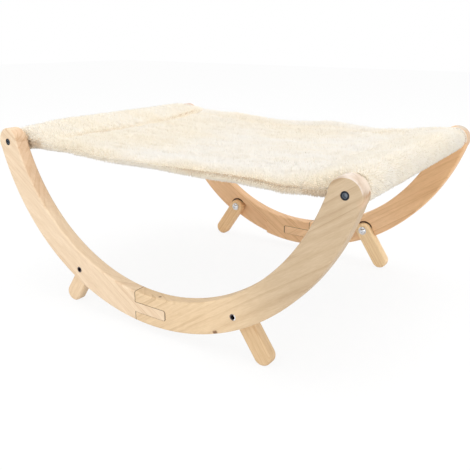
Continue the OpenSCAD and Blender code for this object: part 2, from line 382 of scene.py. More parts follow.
@dataclass(frozen=True)
class PineFinish:
    """Sanded pine, with growth rings round a pith line that runs beside the board."""

    name: str
    early: Colour
    late: Colour
    # A point on the pith line, in metres
    pith: Point
    # Angle of the grain above the X axis, and how far it runs out of the board's face
    grain_deg: float
    run_out_deg: float = 2.0
    ring_pitch: float = 0.0045
    ring_waver: float = 2.2
    # What the wood is multiplied by along the grain, and over what stretch from the pith point
    tip_tint: Colour = WHITE
    tip: Span = (0.0, 0.25)
    # Rings and fibres are this much longer than they are wide
    stretch: float = 9.0
    # What the wood is multiplied by where the cut runs across the grain
    end_grain: Colour = (0.86, 0.78, 0.70)
    # Painted light and shade on the surfaces that face one way
    face: FacingLightTint | None = None
    # Knots, dark lines, and spots of painted light
    marks: tuple[WoodMarkOrLightSpot, ...] = ()
    # Painted shadow at the rim of the leg recess
    recess_shadow: RecessRimShadow | None = None

    def build(self) -> bpy.types.Material:
        """Makes the material.

        Returns:
            The material.
        """
        material, graph, shader = new_material(self.name)
        place = graph.place()
        turn = (0.0, math.radians(-self.grain_deg), math.radians(self.run_out_deg))
        board = graph.add(
            "ShaderNodeMapping",
            {"Vector": place, "Location": self.pith, "Rotation": turn, "Scale": (self.stretch, 1.0, 1.0)},
            vector_type="TEXTURE",
        ).outputs["Vector"]
        ring, strength = self.rings(graph, board)
        turning = tuple(0.55 * early + 0.45 * late for early, late in zip(self.early, self.late))
        wood = graph.ramp(
            ring,
            [(0.0, self.early), (0.45, self.early), (0.80, turning), (0.94, self.late), (1.0, self.early)],
        )
        wood = graph.mix(strength, rgba(self.early), wood)
        streaks = graph.noise(board, 210.0)
        wood = graph.tint(wood, graph.ramp(streaks, [(0.35, (0.945, 0.93, 0.905)), (0.62, WHITE)]))
        fibres = graph.noise(board, 900.0, 3.0, 0.6)
        wood = graph.tint(wood, graph.ramp(fibres, [(0.3, (0.90, 0.88, 0.85)), (0.7, WHITE)]))
        graph.feed(shader, {
            "Base Color": self.toned(graph, place, board, wood),
            "Roughness": graph.fade(ring, (0.0, 1.0), (0.56, 0.46), smooth=False),
            "Specular IOR Level": 0.35,
            "Normal": graph.bump(fibres, 0.25, 0.0003),
        })
        return material

    def rings(self, graph: Graph, board: Socket) -> tuple[Socket, Socket]:
        """Counts the growth rings, which differ in width and in how dark they are.

        Args:
            graph: The material's graph.
            board: Places on the board from its pith.

        Returns:
            How far through its own year a place grew, and how dark that year is.
        """
        from_pith = graph.vectors("LENGTH", graph.vectors("MULTIPLY", board, (0.0, 1.0, 1.0)))
        years = graph.maths("DIVIDE", from_pith, self.ring_pitch)
        drift = graph.noise(board, 24.0, roughness=0.45)
        seasons = {"W": graph.maths("MULTIPLY", years, 0.45), "Detail": 0.0}
        weather = graph.add("ShaderNodeTexNoise", seasons, noise_dimensions="1D").outputs["Fac"]
        years = graph.maths("MULTIPLY_ADD", drift, self.ring_waver, years)
        years = graph.maths("MULTIPLY_ADD", weather, 1.5, years)
        year = {"W": graph.maths("FLOOR", years)}
        luck = graph.add("ShaderNodeTexWhiteNoise", year, noise_dimensions="1D").outputs["Value"]
        return graph.maths("FRACT", years), graph.maths("MULTIPLY_ADD", luck, 0.8, 0.2)

    def toned(self, graph: Graph, place: Socket, board: Socket, wood: Socket) -> Socket:
        """Adds what is special to a board: its tip, end grain, painted light and shade by facing, knots,
        lines and spots of painted light, and painted shadow at the leg recess.

        Args:
            graph: The material's graph.
            place: Object coordinates.
            board: Places on the board from its pith.
            wood: The plain wood.

        Returns:
            The colour of the board.
        """
        tip = tuple(end / self.stretch for end in self.tip)
        wood = graph.tint(wood, rgba(self.tip_tint), graph.fade(graph.axis(board, "X"), tip))
        slope, aside = math.radians(self.grain_deg), math.radians(self.run_out_deg)
        grain = (math.cos(slope) * math.cos(aside), math.sin(aside), math.sin(slope) * math.cos(aside))
        cut_across = graph.fade(graph.maths("ABSOLUTE", graph.facing(grain)), (0.45, 0.95))
        wood = graph.tint(wood, rgba(self.end_grain), cut_across)
        # Painted light and shade by which way the surface faces
        if self.face:
            wood = graph.tint(wood, rgba(self.face.tint), self.face.share(graph, place))
        for mark in self.marks:
            wood = graph.mix(mark.share(graph, place), wood, rgba(mark.colour))
        # Painted shadow over the leg's round end
        if self.recess_shadow:
            wood = graph.mix(self.recess_shadow.share(graph, place), wood, rgba(self.recess_shadow.colour))
        return wood


@dataclass(frozen=True)
class GlueAndShadowFinish:
    """Dried brown wood glue, darker than glue alone: partly painted shadow of the joint's gap."""

    name: str = "glue_and_gap_shadow"
    dark: Colour = (0.060, 0.024, 0.009)
    light: Colour = (0.17, 0.078, 0.030)

    def build(self) -> bpy.types.Material:
        """Makes the material.

        Returns:
            The material.
        """
        material, graph, shader = new_material(self.name)
        beads = graph.noise(graph.place(), 180.0)
        colour = graph.ramp(beads, [(0.4, self.dark), (0.7, self.light)])
        graph.feed(shader, {"Base Color": colour, "Roughness": 0.6})
        return material


@dataclass(frozen=True)
class SteelFinish:
    """Plated or blackened steel with faint handling marks."""

    name: str
    colour: Colour
    worn: Colour
    roughness: float
    metallic: float = 1.0

    def build(self) -> bpy.types.Material:
        """Makes the material.

        Returns:
            The material.
        """
        material, graph, shader = new_material(self.name)
        place = graph.place()
        marks = graph.noise(place, 700.0, 4.0, 0.65)
        colour = graph.ramp(marks, [(0.35, self.colour), (0.75, self.worn)])
        gloss = (self.roughness - 0.08, self.roughness + 0.12)
        graph.feed(shader, {
            "Base Color": self.tinted(graph, place, colour),
            "Roughness": graph.fade(marks, (0.0, 1.0), gloss, smooth=False),
            "Metallic": self.metallic,
        })
        return material

    def tinted(self, graph: Graph, place: Socket, colour: Socket) -> Socket:
        """The colour with what is special to the piece; plain steel has nothing."""
        return colour


@dataclass(frozen=True)
class SocketBoltFinish(SteelFinish):
    """Blackened bolts with a painted glint: a steel-grey disc in each socket."""

    axis_x: float = 0.2335
    axis_z: float = 0.2040
    # Size of the painted glint in each socket; its colour follows
    socket_r: float = 0.0022
    socket_fade: float = 0.0004
    painted_glint: Colour = (0.21, 0.24, 0.275)

    def tinted(self, graph: Graph, place: Socket, colour: Socket) -> Socket:
        """Paints a glint round each bolt's own axis.

        Args:
            graph: The material's graph.
            place: Object coordinates.
            colour: The blackened colour.

        Returns:
            The colour with a painted glint in each socket.
        """
        across = graph.maths("SUBTRACT", graph.maths("ABSOLUTE", graph.axis(place, "X")), self.axis_x)
        above = graph.maths("SUBTRACT", graph.axis(place, "Z"), self.axis_z)
        squares = [graph.maths("POWER", value, 2.0) for value in (across, above)]
        away = graph.maths("SQRT", graph.maths("ADD", *squares))
        rim = (self.socket_r, self.socket_r + self.socket_fade)
        return graph.mix(graph.fade(away, rim, (1.0, 0.0), smooth=False), colour, rgba(self.painted_glint))


@dataclass(frozen=True)
class LegScrewFinish(SteelFinish):
    """Bright screws with painted shade on their ends past a given depth, where they lie in the insert's hole.
    """

    # Depth past which shade is painted, and its colour
    shaded_from: float = 0.1780
    hole_shade: Colour = (0.020, 0.016, 0.018)

    def tinted(self, graph: Graph, place: Socket, colour: Socket) -> Socket:
        """Paints shade on the thread end inside the hole.

        Args:
            graph: The material's graph.
            place: Object coordinates.
            colour: The bright colour.

        Returns:
            The colour with dark ends.
        """
        depth = graph.maths("ABSOLUTE", graph.axis(place, "Y"))
        return graph.mix(graph.maths("GREATER_THAN", depth, self.shaded_from), colour, rgba(self.hole_shade))


@dataclass(frozen=True)
class LegInsertFinish(SteelFinish):
    """Dull inserts, with a painted glint: a bright crescent past a given X."""

    # Where the painted glint begins, and its colour
    glint_from: float = 0.1184
    painted_glint: Colour = (0.95, 0.95, 0.96)

    def tinted(self, graph: Graph, place: Socket, colour: Socket) -> Socket:
        """Paints the glint on the side past the given X.

        Args:
            graph: The material's graph.
            place: Object coordinates.
            colour: The dull colour.

        Returns:
            The colour with its painted glint.
        """
        glint_share = graph.maths("GREATER_THAN", graph.axis(place, "X"), self.glint_from)
        return graph.mix(glint_share, colour, rgba(self.painted_glint))


@dataclass(frozen=True)
class PlushFinish:
    """The knitted ground of the plush, seen between its tufts; its colours are a little darker than the
    tufts', painted shade between them.
    """

    name: str
    pale: Colour
    warm: Colour
    # What the ground is multiplied by where the cloth is warm in tone, and where shade is painted in creases
    # and seams
    warmth: Colour
    crease: Colour

    def build(self) -> bpy.types.Material:
        """Makes the material.

        Returns:
            The material.
        """
        material, graph, shader = new_material(self.name)
        place = graph.place()
        patches = graph.noise(place, 14.0)
        fuzz = graph.noise(place, 420.0, 4.0, 0.7)
        colour = graph.ramp(patches, [(0.35, self.pale), (0.7, self.warm)])
        colour = graph.tint(colour, graph.ramp(fuzz, [(0.3, (0.86, 0.84, 0.80)), (0.7, WHITE)]))
        # Warm tone, and painted shade in creases and along seams, carried by the cloth
        shade = graph.add("ShaderNodeAttribute", attribute_name="shade").outputs["Fac"]
        tone = graph.ramp(shade, [(0.0, WHITE), (0.45, self.warmth), (0.9, self.crease)])
        graph.feed(shader, {
            "Base Color": graph.tint(colour, tone),
            "Roughness": 0.95,
            "Specular IOR Level": 0.1,
            "Sheen Weight": 0.3,
            "Sheen Roughness": 0.5,
            "Normal": graph.bump(fuzz, 0.6, 0.002),
        })
        return material


@dataclass(frozen=True)
class PileFinish:
    """The tufts of the plush, which read their own map: a tint across it and root to tip up it."""

    name: str
    root: Colour
    middle: Colour
    tip: Colour
    # What the warmest strip of the map is multiplied by, and the strip for painted shade in creases and seams
    warmth: Colour
    crease: Colour
    tints: int = 64

    def build(self) -> bpy.types.Material:
        """Makes the material.

        Returns:
            The material.
        """
        material, graph, shader = new_material(self.name)
        uv = graph.add("ShaderNodeUVMap", uv_map=BAKE_MAP).outputs["UV"]
        colour = graph.ramp(graph.axis(uv, "Y"), [(0.0, self.root), (0.4, self.middle), (0.85, self.tip)])
        strip = graph.maths("FLOOR", graph.maths("MULTIPLY", graph.axis(uv, "X"), float(self.tints)))
        share = graph.maths("DIVIDE", strip, float(self.tints))
        tone = graph.ramp(share, [(0.0, self.crease), (0.25, self.warmth), (0.8, WHITE)])
        graph.feed(shader, {
            "Base Color": graph.tint(colour, tone),
            "Roughness": 0.9,
            "Specular IOR Level": 0.1,
            "Sheen Weight": 0.35,
            "Sheen Roughness": 0.4,
        })
        return material


@dataclass(frozen=True)
class ThreadFinish:
    """Twisted sewing thread."""

    name: str
    colour: Colour

    def build(self) -> bpy.types.Material:
        """Makes the material.

        Returns:
            The material.
        """
        material, graph, shader = new_material(self.name)
        inputs = {"Vector": graph.place(), "Scale": 900.0, "Distortion": 1.0}
        twist = graph.add("ShaderNodeTexWave", inputs, bands_direction="DIAGONAL").outputs["Fac"]
        dark = tuple(0.7 * part for part in self.colour)
        colour = graph.ramp(twist, [(0.2, dark), (0.8, self.colour)])
        graph.feed(shader, {"Base Color": colour, "Roughness": 0.8})
        return material


def add_mesh(name: str, points: np.ndarray, faces: Sequence[Sequence[int]]) -> bpy.types.Object:
    """Makes a smooth mesh object at the origin.

    Args:
        name: The object's name.
        points: Its vertices, in metres in the part's frame.
        faces: Its faces, by vertex numbers.

    Returns:
        The object.
    """
    mesh = bpy.data.meshes.new(name)
    mesh.from_pydata(points.reshape(-1, 3).tolist(), [], [list(face) for face in faces])
    mesh.polygons.foreach_set("use_smooth", np.ones(len(mesh.polygons), bool))
    mesh.update()
    return add_object(name, mesh)


def add_object(name: str, data: bpy.types.ID) -> bpy.types.Object:
    """Puts a mesh, lamp or camera into the scene.

    Args:
        name: The object's name.
        data: What it shows.

    Returns:
        The object.
    """
    made = bpy.data.objects.new(name, data)
    bpy.context.scene.collection.objects.link(made)
    return made


def wear(piece: bpy.types.Object, material: bpy.types.Material) -> None:
    """Gives an object one material.

    Args:
        piece: The object.
        material: Its material.
    """
    piece.data.materials.clear()
    piece.data.materials.append(material)


def settled(carrier: bpy.types.Object, name: str) -> bpy.types.Object:
    """Turns an object with live modifiers into a plain mesh, and removes the carrier.

    Args:
        carrier: The object with its modifiers.
        name: The new object's name.

    Returns:
        The plain object.
    """
    depsgraph = bpy.context.evaluated_depsgraph_get()
    evaluated = carrier.evaluated_get(depsgraph)
    mesh = bpy.data.meshes.new_from_object(evaluated, preserve_all_data_layers=True, depsgraph=depsgraph)
    bpy.data.objects.remove(carrier)
    mesh.name = name
    return add_object(name, mesh)


def write_attribute(piece: bpy.types.Object, name: str, values: np.ndarray) -> None:
    """Stores a number on each vertex.

    Args:
        piece: The mesh object.
        name: The attribute's name.
        values: One number for each vertex.
    """
    attribute = piece.data.attributes.new(name, "FLOAT", "POINT")
    attribute.data.foreach_set("value", values.astype(np.float32).ravel())


class NodeTool:
    """A Geometry Nodes tree with named inputs, which is run once on a carrier and leaves a plain mesh."""

    def __init__(self, name: str, numbers: Sequence[str], **others: str) -> None:
        """Starts the tree.

        Args:
            name: The tree's name.
            numbers: Names of the inputs that are plain numbers.
            others: Socket types of its other inputs, by name.
        """
        self.tree = bpy.data.node_groups.new(name, "GeometryNodeTree")
        sockets = self.tree.interface
        sockets.new_socket("Geometry", in_out="OUTPUT", socket_type="NodeSocketGeometry")
        sockets.new_socket("Geometry", in_out="INPUT", socket_type="NodeSocketGeometry")
        kinds = {**dict.fromkeys(numbers, "NodeSocketFloat"), **others, "Material": "NodeSocketMaterial"}
        self.identifiers = {
            key: sockets.new_socket(key, in_out="INPUT", socket_type=kind).identifier
            for key, kind in kinds.items()
        }
        self.graph = Graph(self.tree)
        self.given = self.graph.add("NodeGroupInput").outputs

    def end(self, geometry: Socket) -> None:
        """Sets the material of the realized copies and closes the tree.

        Args:
            geometry: What the tree has made.
        """
        inputs = {"Geometry": geometry, "Material": self.given["Material"]}
        worn = self.graph.add("GeometryNodeSetMaterial", inputs).outputs["Geometry"]
        self.graph.add("NodeGroupOutput", {"Geometry": worn})

    def run(self, carrier: bpy.types.Object, name: str, **values: Any) -> bpy.types.Object:
        """Runs the tree on a carrier, which is used up.

        Args:
            carrier: The object that holds the path or surface.
            name: The made piece's name.
            values: Input values, by input name.

        Returns:
            The made piece.
        """
        modifier = carrier.modifiers.new(self.tree.name, "NODES")
        modifier.node_group = self.tree
        for key, value in values.items():
            modifier[self.identifiers[key]] = value
        return settled(carrier, name)


class PileTool(NodeTool):
    """Grows plush tufts on a surface: slim cones that lean with the nap."""

    def __init__(self, tints: int) -> None:
        """Builds the tree.

        Args:
            tints: How many strips of tint the tufts' map has.
        """
        numbers = ("Pitch", "Length", "Width", "Lean", "Ruffle")
        super().__init__("plush_pile", numbers, Nap="NodeSocketVector", Seed="NodeSocketInt")
        self.tints = tints
        graph, given = self.graph, self.given
        pile = graph.named("pile")
        scatter = graph.add(
            "GeometryNodeDistributePointsOnFaces",
            {
                "Mesh": given["Geometry"],
                "Selection": graph.maths("GREATER_THAN", pile, 0.05),
                "Distance Min": given["Pitch"],
                "Density Max": 1.0e6,
                "Seed": given["Seed"],
            },
            distribute_method="POISSON",
        )
        size = graph.random(0.85, 1.15, given["Seed"])
        long = graph.maths("MULTIPLY", size, pile)
        scale = graph.add("ShaderNodeCombineXYZ", {"X": size, "Y": size, "Z": long}).outputs["Vector"]
        copies = graph.add(
            "GeometryNodeInstanceOnPoints",
            {
                "Points": scatter.outputs["Points"],
                "Instance": self.tuft(),
                "Rotation": self.stance(scatter.outputs["Normal"]),
                "Scale": scale,
            },
        ).outputs["Instances"]
        tinted = graph.store(copies, "strip", self.strip(), "FLOAT", "INSTANCE")
        real = graph.add("GeometryNodeRealizeInstances", {"Geometry": tinted}).outputs["Geometry"]
        self.end(self.mapped(real))

    def tuft(self) -> Socket:
        """One tuft: a slim three-sided cone, with its place on the map.

        Returns:
            The tuft's geometry.
        """
        graph, long = self.graph, self.given["Length"]
        half = graph.maths("MULTIPLY", self.given["Width"], 0.5)
        cone = graph.add(
            "GeometryNodeMeshCone",
            {"Vertices": 3, "Side Segments": 1, "Radius Top": 0.0, "Radius Bottom": half, "Depth": long},
            fill_type="NONE",
        ).outputs["Mesh"]
        place = graph.add("GeometryNodeInputPosition").outputs["Position"]
        up = graph.maths("DIVIDE", graph.axis(place, "Z"), long)
        # A slanting line across the tuft gives each of its three sides a place of its own
        slant = graph.maths("MULTIPLY_ADD", graph.axis(place, "Y"), 0.37, graph.axis(place, "X"))
        for name, value in (("up", up), ("across", graph.maths("DIVIDE", slant, half))):
            cone = graph.store(cone, name, value, "FLOAT", "POINT")
        return graph.add("GeometryNodeSetShadeSmooth", {"Geometry": cone}).outputs["Geometry"]

    def stance(self, normal: Socket) -> Socket:
        """How a tuft stands: out of the cloth, with the nap, a little ruffled, and spun at random.

        Args:
            normal: Which way the cloth faces.

        Returns:
            The tuft's rotation.
        """
        graph, given = self.graph, self.given
        swirl = graph.add("ShaderNodeTexNoise", {"Scale": 140.0, "Detail": 1.0}).outputs["Color"]
        swirl = graph.vectors("SUBTRACT", swirl, (0.5, 0.5, 0.5))
        stray = graph.add(
            "FunctionNodeRandomValue",
            {0: (-1.0, -1.0, -1.0), 1: (1.0, 1.0, 1.0), "Seed": given["Seed"]},
            data_type="FLOAT_VECTOR",
        ).outputs[0]
        brushed = graph.vectors("ADD", normal, graph.scaled(given["Nap"], given["Lean"]))
        ruffled = graph.vectors("ADD", graph.scaled(stray, given["Ruffle"]), swirl)
        way = graph.vectors("ADD", brushed, ruffled)
        stand = graph.add("FunctionNodeAlignRotationToVector", {"Vector": way}, axis="Z").outputs["Rotation"]
        return graph.turned(stand, graph.random(0.0, math.tau, given["Seed"]))

    def strip(self) -> Socket:
        """The strip of tint that a tuft takes: patchy, a little random, and less where the cloth is shaded.

        Returns:
            The strip's number.
        """
        graph = self.graph
        place = graph.add("GeometryNodeInputPosition").outputs["Position"]
        patches = graph.noise(graph.vectors("MULTIPLY", place, (0.4, 1.0, 1.0)), 20.0)
        share = graph.fade(patches, (0.3, 0.7), smooth=False)
        share = graph.maths("ADD", share, graph.random(-0.05, 0.05, self.given["Seed"]))
        share = graph.add("ShaderNodeClamp", {"Value": share}).outputs["Result"]
        share = graph.maths("MULTIPLY_ADD", share, 0.55, 0.45)
        share = graph.maths("MULTIPLY", share, graph.maths("SUBTRACT", 1.0, graph.named("shade")))
        return graph.maths("FLOOR", graph.maths("MULTIPLY", share, self.tints - 0.01))

    def mapped(self, geometry: Socket) -> Socket:
        """Stores each tuft's place on the map.

        Args:
            geometry: The realized tufts.

        Returns:
            The tufts with their map.
        """
        graph = self.graph
        inside = graph.maths("MULTIPLY_ADD", graph.named("across"), 0.4, 0.5)
        u = graph.maths("DIVIDE", graph.maths("ADD", graph.named("strip"), inside), float(self.tints))
        v = graph.maths("MULTIPLY_ADD", graph.named("up"), 0.96, 0.02)
        uv = graph.add("ShaderNodeCombineXYZ", {"X": u, "Y": v}).outputs["Vector"]
        return graph.store(geometry, BAKE_MAP, uv, "FLOAT2", "CORNER")


class StitchTool(NodeTool):
    """Lays a row of stitches along the edges of a path."""

    def __init__(self) -> None:
        """Builds the tree."""
        super().__init__("stitch_row", ("Pitch", "Length", "Thickness", "Slant"))
        graph, given = self.graph, self.given
        curve = graph.add("GeometryNodeMeshToCurve", {"Mesh": given["Geometry"]}).outputs["Curve"]
        spaced = {"Curve": curve, "Length": given["Pitch"]}
        places = graph.add("GeometryNodeCurveToPoints", spaced, mode="LENGTH").outputs
        sizes = {"Segments": 6, "Rings": 5, "Radius": 0.5}
        ball = graph.add("GeometryNodeMeshUVSphere", sizes).outputs["Mesh"]
        ball = graph.add("GeometryNodeSetShadeSmooth", {"Geometry": ball}).outputs["Geometry"]
        tangent = {"Vector": places["Tangent"]}
        along = graph.add("FunctionNodeAlignRotationToVector", tangent, axis="X").outputs["Rotation"]
        long, thick = given["Length"], given["Thickness"]
        size = graph.add("ShaderNodeCombineXYZ", {"X": long, "Y": thick, "Z": thick}).outputs["Vector"]
        copies = graph.add(
            "GeometryNodeInstanceOnPoints",
            {
                "Points": places["Points"],
                "Instance": ball,
                "Rotation": graph.turned(along, given["Slant"]),
                "Scale": size,
            },
        ).outputs["Instances"]
        self.end(graph.add("GeometryNodeRealizeInstances", {"Geometry": copies}).outputs["Geometry"])


@dataclass(frozen=True)
class Tone:
    """The colours of a board's early and late wood."""

    early: Colour
    late: Colour


@dataclass(frozen=True)
class ArcBoard:
    """The board that half an arc was cut from."""

    name: str
    # Signs of the half's X, and of the way from it to the middle plane
    side: int
    inward: int
    tone: Tone
    # How far the pith is below the board across the grain, and behind it
    below: float
    behind: float
    ring_pitch: float
    special: dict[str, Any]


@dataclass
class Woodwork:
    """The four arc halves, the legs and the rods, each with grain of its own."""

    grain_deg: float = 33.0
    # Middle of the front right half; the other halves mirror it
    half_middle: Point = (0.125, -0.181, 0.090)
    leg_pivot: tuple[float, float] = (0.117, 0.05386)
    leg_slope_deg: float = 56.0
    # Where a leg's pith is, below and behind the leg, and its rings
    leg_pith: tuple[float, float] = (0.022, 0.028)
    leg_run_out_deg: float = 1.0
    leg_ring_pitch: float = 0.0036
    rod_ring_pitch: float = 0.004
    # Early and late wood of each board. The rear tones are more orange than the front ones, partly painted
    # warm light bounced from the cloth; tan_lit, lit_leg and shaded_leg are lighter and darker copies,
    # painted light and shade
    pale: Tone = Tone((0.815, 0.645, 0.465), (0.70, 0.505, 0.33))
    grey: Tone = Tone((0.77, 0.585, 0.378), (0.59, 0.41, 0.24))
    tan: Tone = Tone((0.885, 0.575, 0.335), (0.66, 0.375, 0.18))
    tan_lit: Tone = Tone((0.945, 0.64, 0.39), (0.71, 0.42, 0.215))
    leg: Tone = Tone((0.84, 0.65, 0.445), (0.66, 0.44, 0.25))
    shaded_leg: Tone = Tone((0.725, 0.525, 0.315), (0.55, 0.34, 0.17))
    rear_leg: Tone = Tone((0.87, 0.595, 0.335), (0.66, 0.36, 0.155))
    lit_leg: Tone = Tone((0.97, 0.735, 0.455), (0.77, 0.47, 0.23))
    knot: Colour = (0.16, 0.065, 0.025)
    # Dark lines on the front right arm's top rim, where its front face turns
    rim_dark_line: Colour = (0.44, 0.25, 0.13)

    def pith_beside(self, middle: Vector, grain_deg: float, below: float, behind: float) -> Point:
        """A point on the pith line of a board.

        Args:
            middle: The board's middle.
            grain_deg: Angle of its grain above the X axis.
            below: How far the pith is below the board, across the grain.
            behind: How far it is behind the board.

        Returns:
            The point.
        """
        slope = math.radians(grain_deg)
        down = Vector((math.sin(slope), 0.0, -math.cos(slope)))
        return tuple(middle + below * down + Vector((0.0, behind, 0.0)))

    def arc_boards(self) -> tuple[ArcBoard, ...]:
        """The boards of the four halves, with what is special to each.

        Returns:
            The boards.
        """
        knot, line = self.knot, self.rim_dark_line
        front_left = {
            "ring_waver": 1.2,
            # Painted shade on the upper inner rim, which faces right and up
            "face": FacingLightTint((0.90, 0.83, 0.785), (0.94, 0.0, 0.34)),
        }
        front_right = {
            "run_out_deg": -2.0,
            "tip_tint": (0.735, 0.74, 0.76),
            "tip": (-0.06, 0.07),
            # Painted highlight on the top of the tip, on faces that look up and right
            "face": FacingLightTint((1.31, 1.51, 2.02), (0.45, 0.0, 0.89), (0.2, 0.35), (0.2035, 0.2115)),
            "marks": (
                WoodMarkOrLightSpot((0.0110, -0.1835, 0.0470), 0.0013, knot),
                WoodMarkOrLightSpot((0.0928, -0.1895, 0.0287), 0.0014, knot),
                WoodMarkOrLightSpot((0.0952, -0.1895, 0.0299), 0.0014, knot),
                # A pale spot on the top of the tip, painted highlight, and a darker spot below it
                WoodMarkOrLightSpot((0.2478, -0.1750, 0.2140), 0.0060, (0.72, 0.60, 0.49)),
                WoodMarkOrLightSpot((0.2500, -0.1840, 0.1985), 0.0042, (0.62, 0.42, 0.27)),
                # Dark lines on the top rim
                WoodMarkOrLightSpot((0.2503, -0.1765, 0.2060), 0.0014, (0.40, 0.21, 0.10)),
                WoodMarkOrLightSpot((0.2503, -0.1800, 0.2048), 0.0012, line),
                WoodMarkOrLightSpot((0.2500, -0.1840, 0.2044), 0.0012, line),
            ),
        }
        rear_left = {
            "run_out_deg": -1.5,
            # A greyed spot on the top of the tip: painted highlight
            "marks": (WoodMarkOrLightSpot((-0.2335, 0.1810, 0.2215), 0.0080, (0.58, 0.46, 0.40)),),
        }
        rear_right = {
            "tip_tint": (0.85, 0.79, 0.70),
            "tip": (-0.03, 0.10),
            # Painted highlight on the upper end of the face that looks to the front
            "face": FacingLightTint((1.12, 1.72, 3.05), (0.0, -1.0, 0.0), rise=(0.1985, 0.2050)),
            "marks": (
                # Greyed spots on the top of the tip: painted highlight
                WoodMarkOrLightSpot((0.2400, 0.1810, 0.2215), 0.0070, (0.56, 0.49, 0.40)),
                WoodMarkOrLightSpot((0.2505, 0.1810, 0.2080), 0.0070, (0.60, 0.44, 0.30)),
            ),
        }
        return (
            ArcBoard("front_left", -1, 1, self.pale, 0.12, 0.09, 0.0130, front_left),
            ArcBoard("front_right", 1, 1, self.grey, 0.10, 0.10, 0.0135, front_right),
            ArcBoard("rear_left", -1, -1, self.tan, 0.10, 0.10, 0.0110, rear_left),
            ArcBoard("rear_right", 1, -1, self.tan_lit, 0.09, 0.10, 0.0120, rear_right),
        )

    def finishes(self) -> dict[str, PineFinish]:
        """The finish of each wooden node.

        Returns:
            Finishes by node name.
        """
        x, y, z = self.half_middle
        pivot_x, pivot_z = self.leg_pivot
        found = {}
        for board in self.arc_boards():
            slope = board.side * self.grain_deg
            middle = Vector((board.side * x, board.inward * y, z))
            pith = self.pith_beside(middle, slope, board.below, board.inward * board.behind)
            found[f"{board.name}_arc"] = PineFinish(
                f"pine_{board.name}", board.tone.early, board.tone.late, pith, slope,
                ring_pitch=board.ring_pitch, recess_shadow=RecessRimShadow(board.side * pivot_x, pivot_z),
                **board.special,
            )
        for name, pith in (("left_rod", (-0.25, 0.0, 0.17)), ("right_rod", (0.22, 0.0, 0.16))):
            found[name] = PineFinish(
                f"pine_{name}", self.pale.early, self.pale.late, pith, 0.0, 90.0, self.rod_ring_pitch
            )
        below, behind = self.leg_pith
        for name, side, inward, tone in (
            ("front_left", 1, 1, self.leg),
            ("front_right", -1, 1, self.shaded_leg),
            ("rear_left", 1, -1, self.rear_leg),
            ("rear_right", -1, -1, self.lit_leg),
        ):
            low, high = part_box(f"{name}_leg")
            slope = side * self.leg_slope_deg
            pith = self.pith_beside((low + high) / 2, slope, below, inward * behind)
            found[f"{name}_leg"] = PineFinish(
                f"pine_{name}_leg", tone.early, tone.late, pith, slope,
                self.leg_run_out_deg, self.leg_ring_pitch,
            )
        return found

    def dress(self, nodes: dict[str, bpy.types.Object]) -> None:
        """Gives every wooden node its own board.

        Args:
            nodes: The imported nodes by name.
        """
        for name, finish in self.finishes().items():
            wear(nodes[name], finish.build())
            LOG.info("dressed %s in %s", name, finish.name)


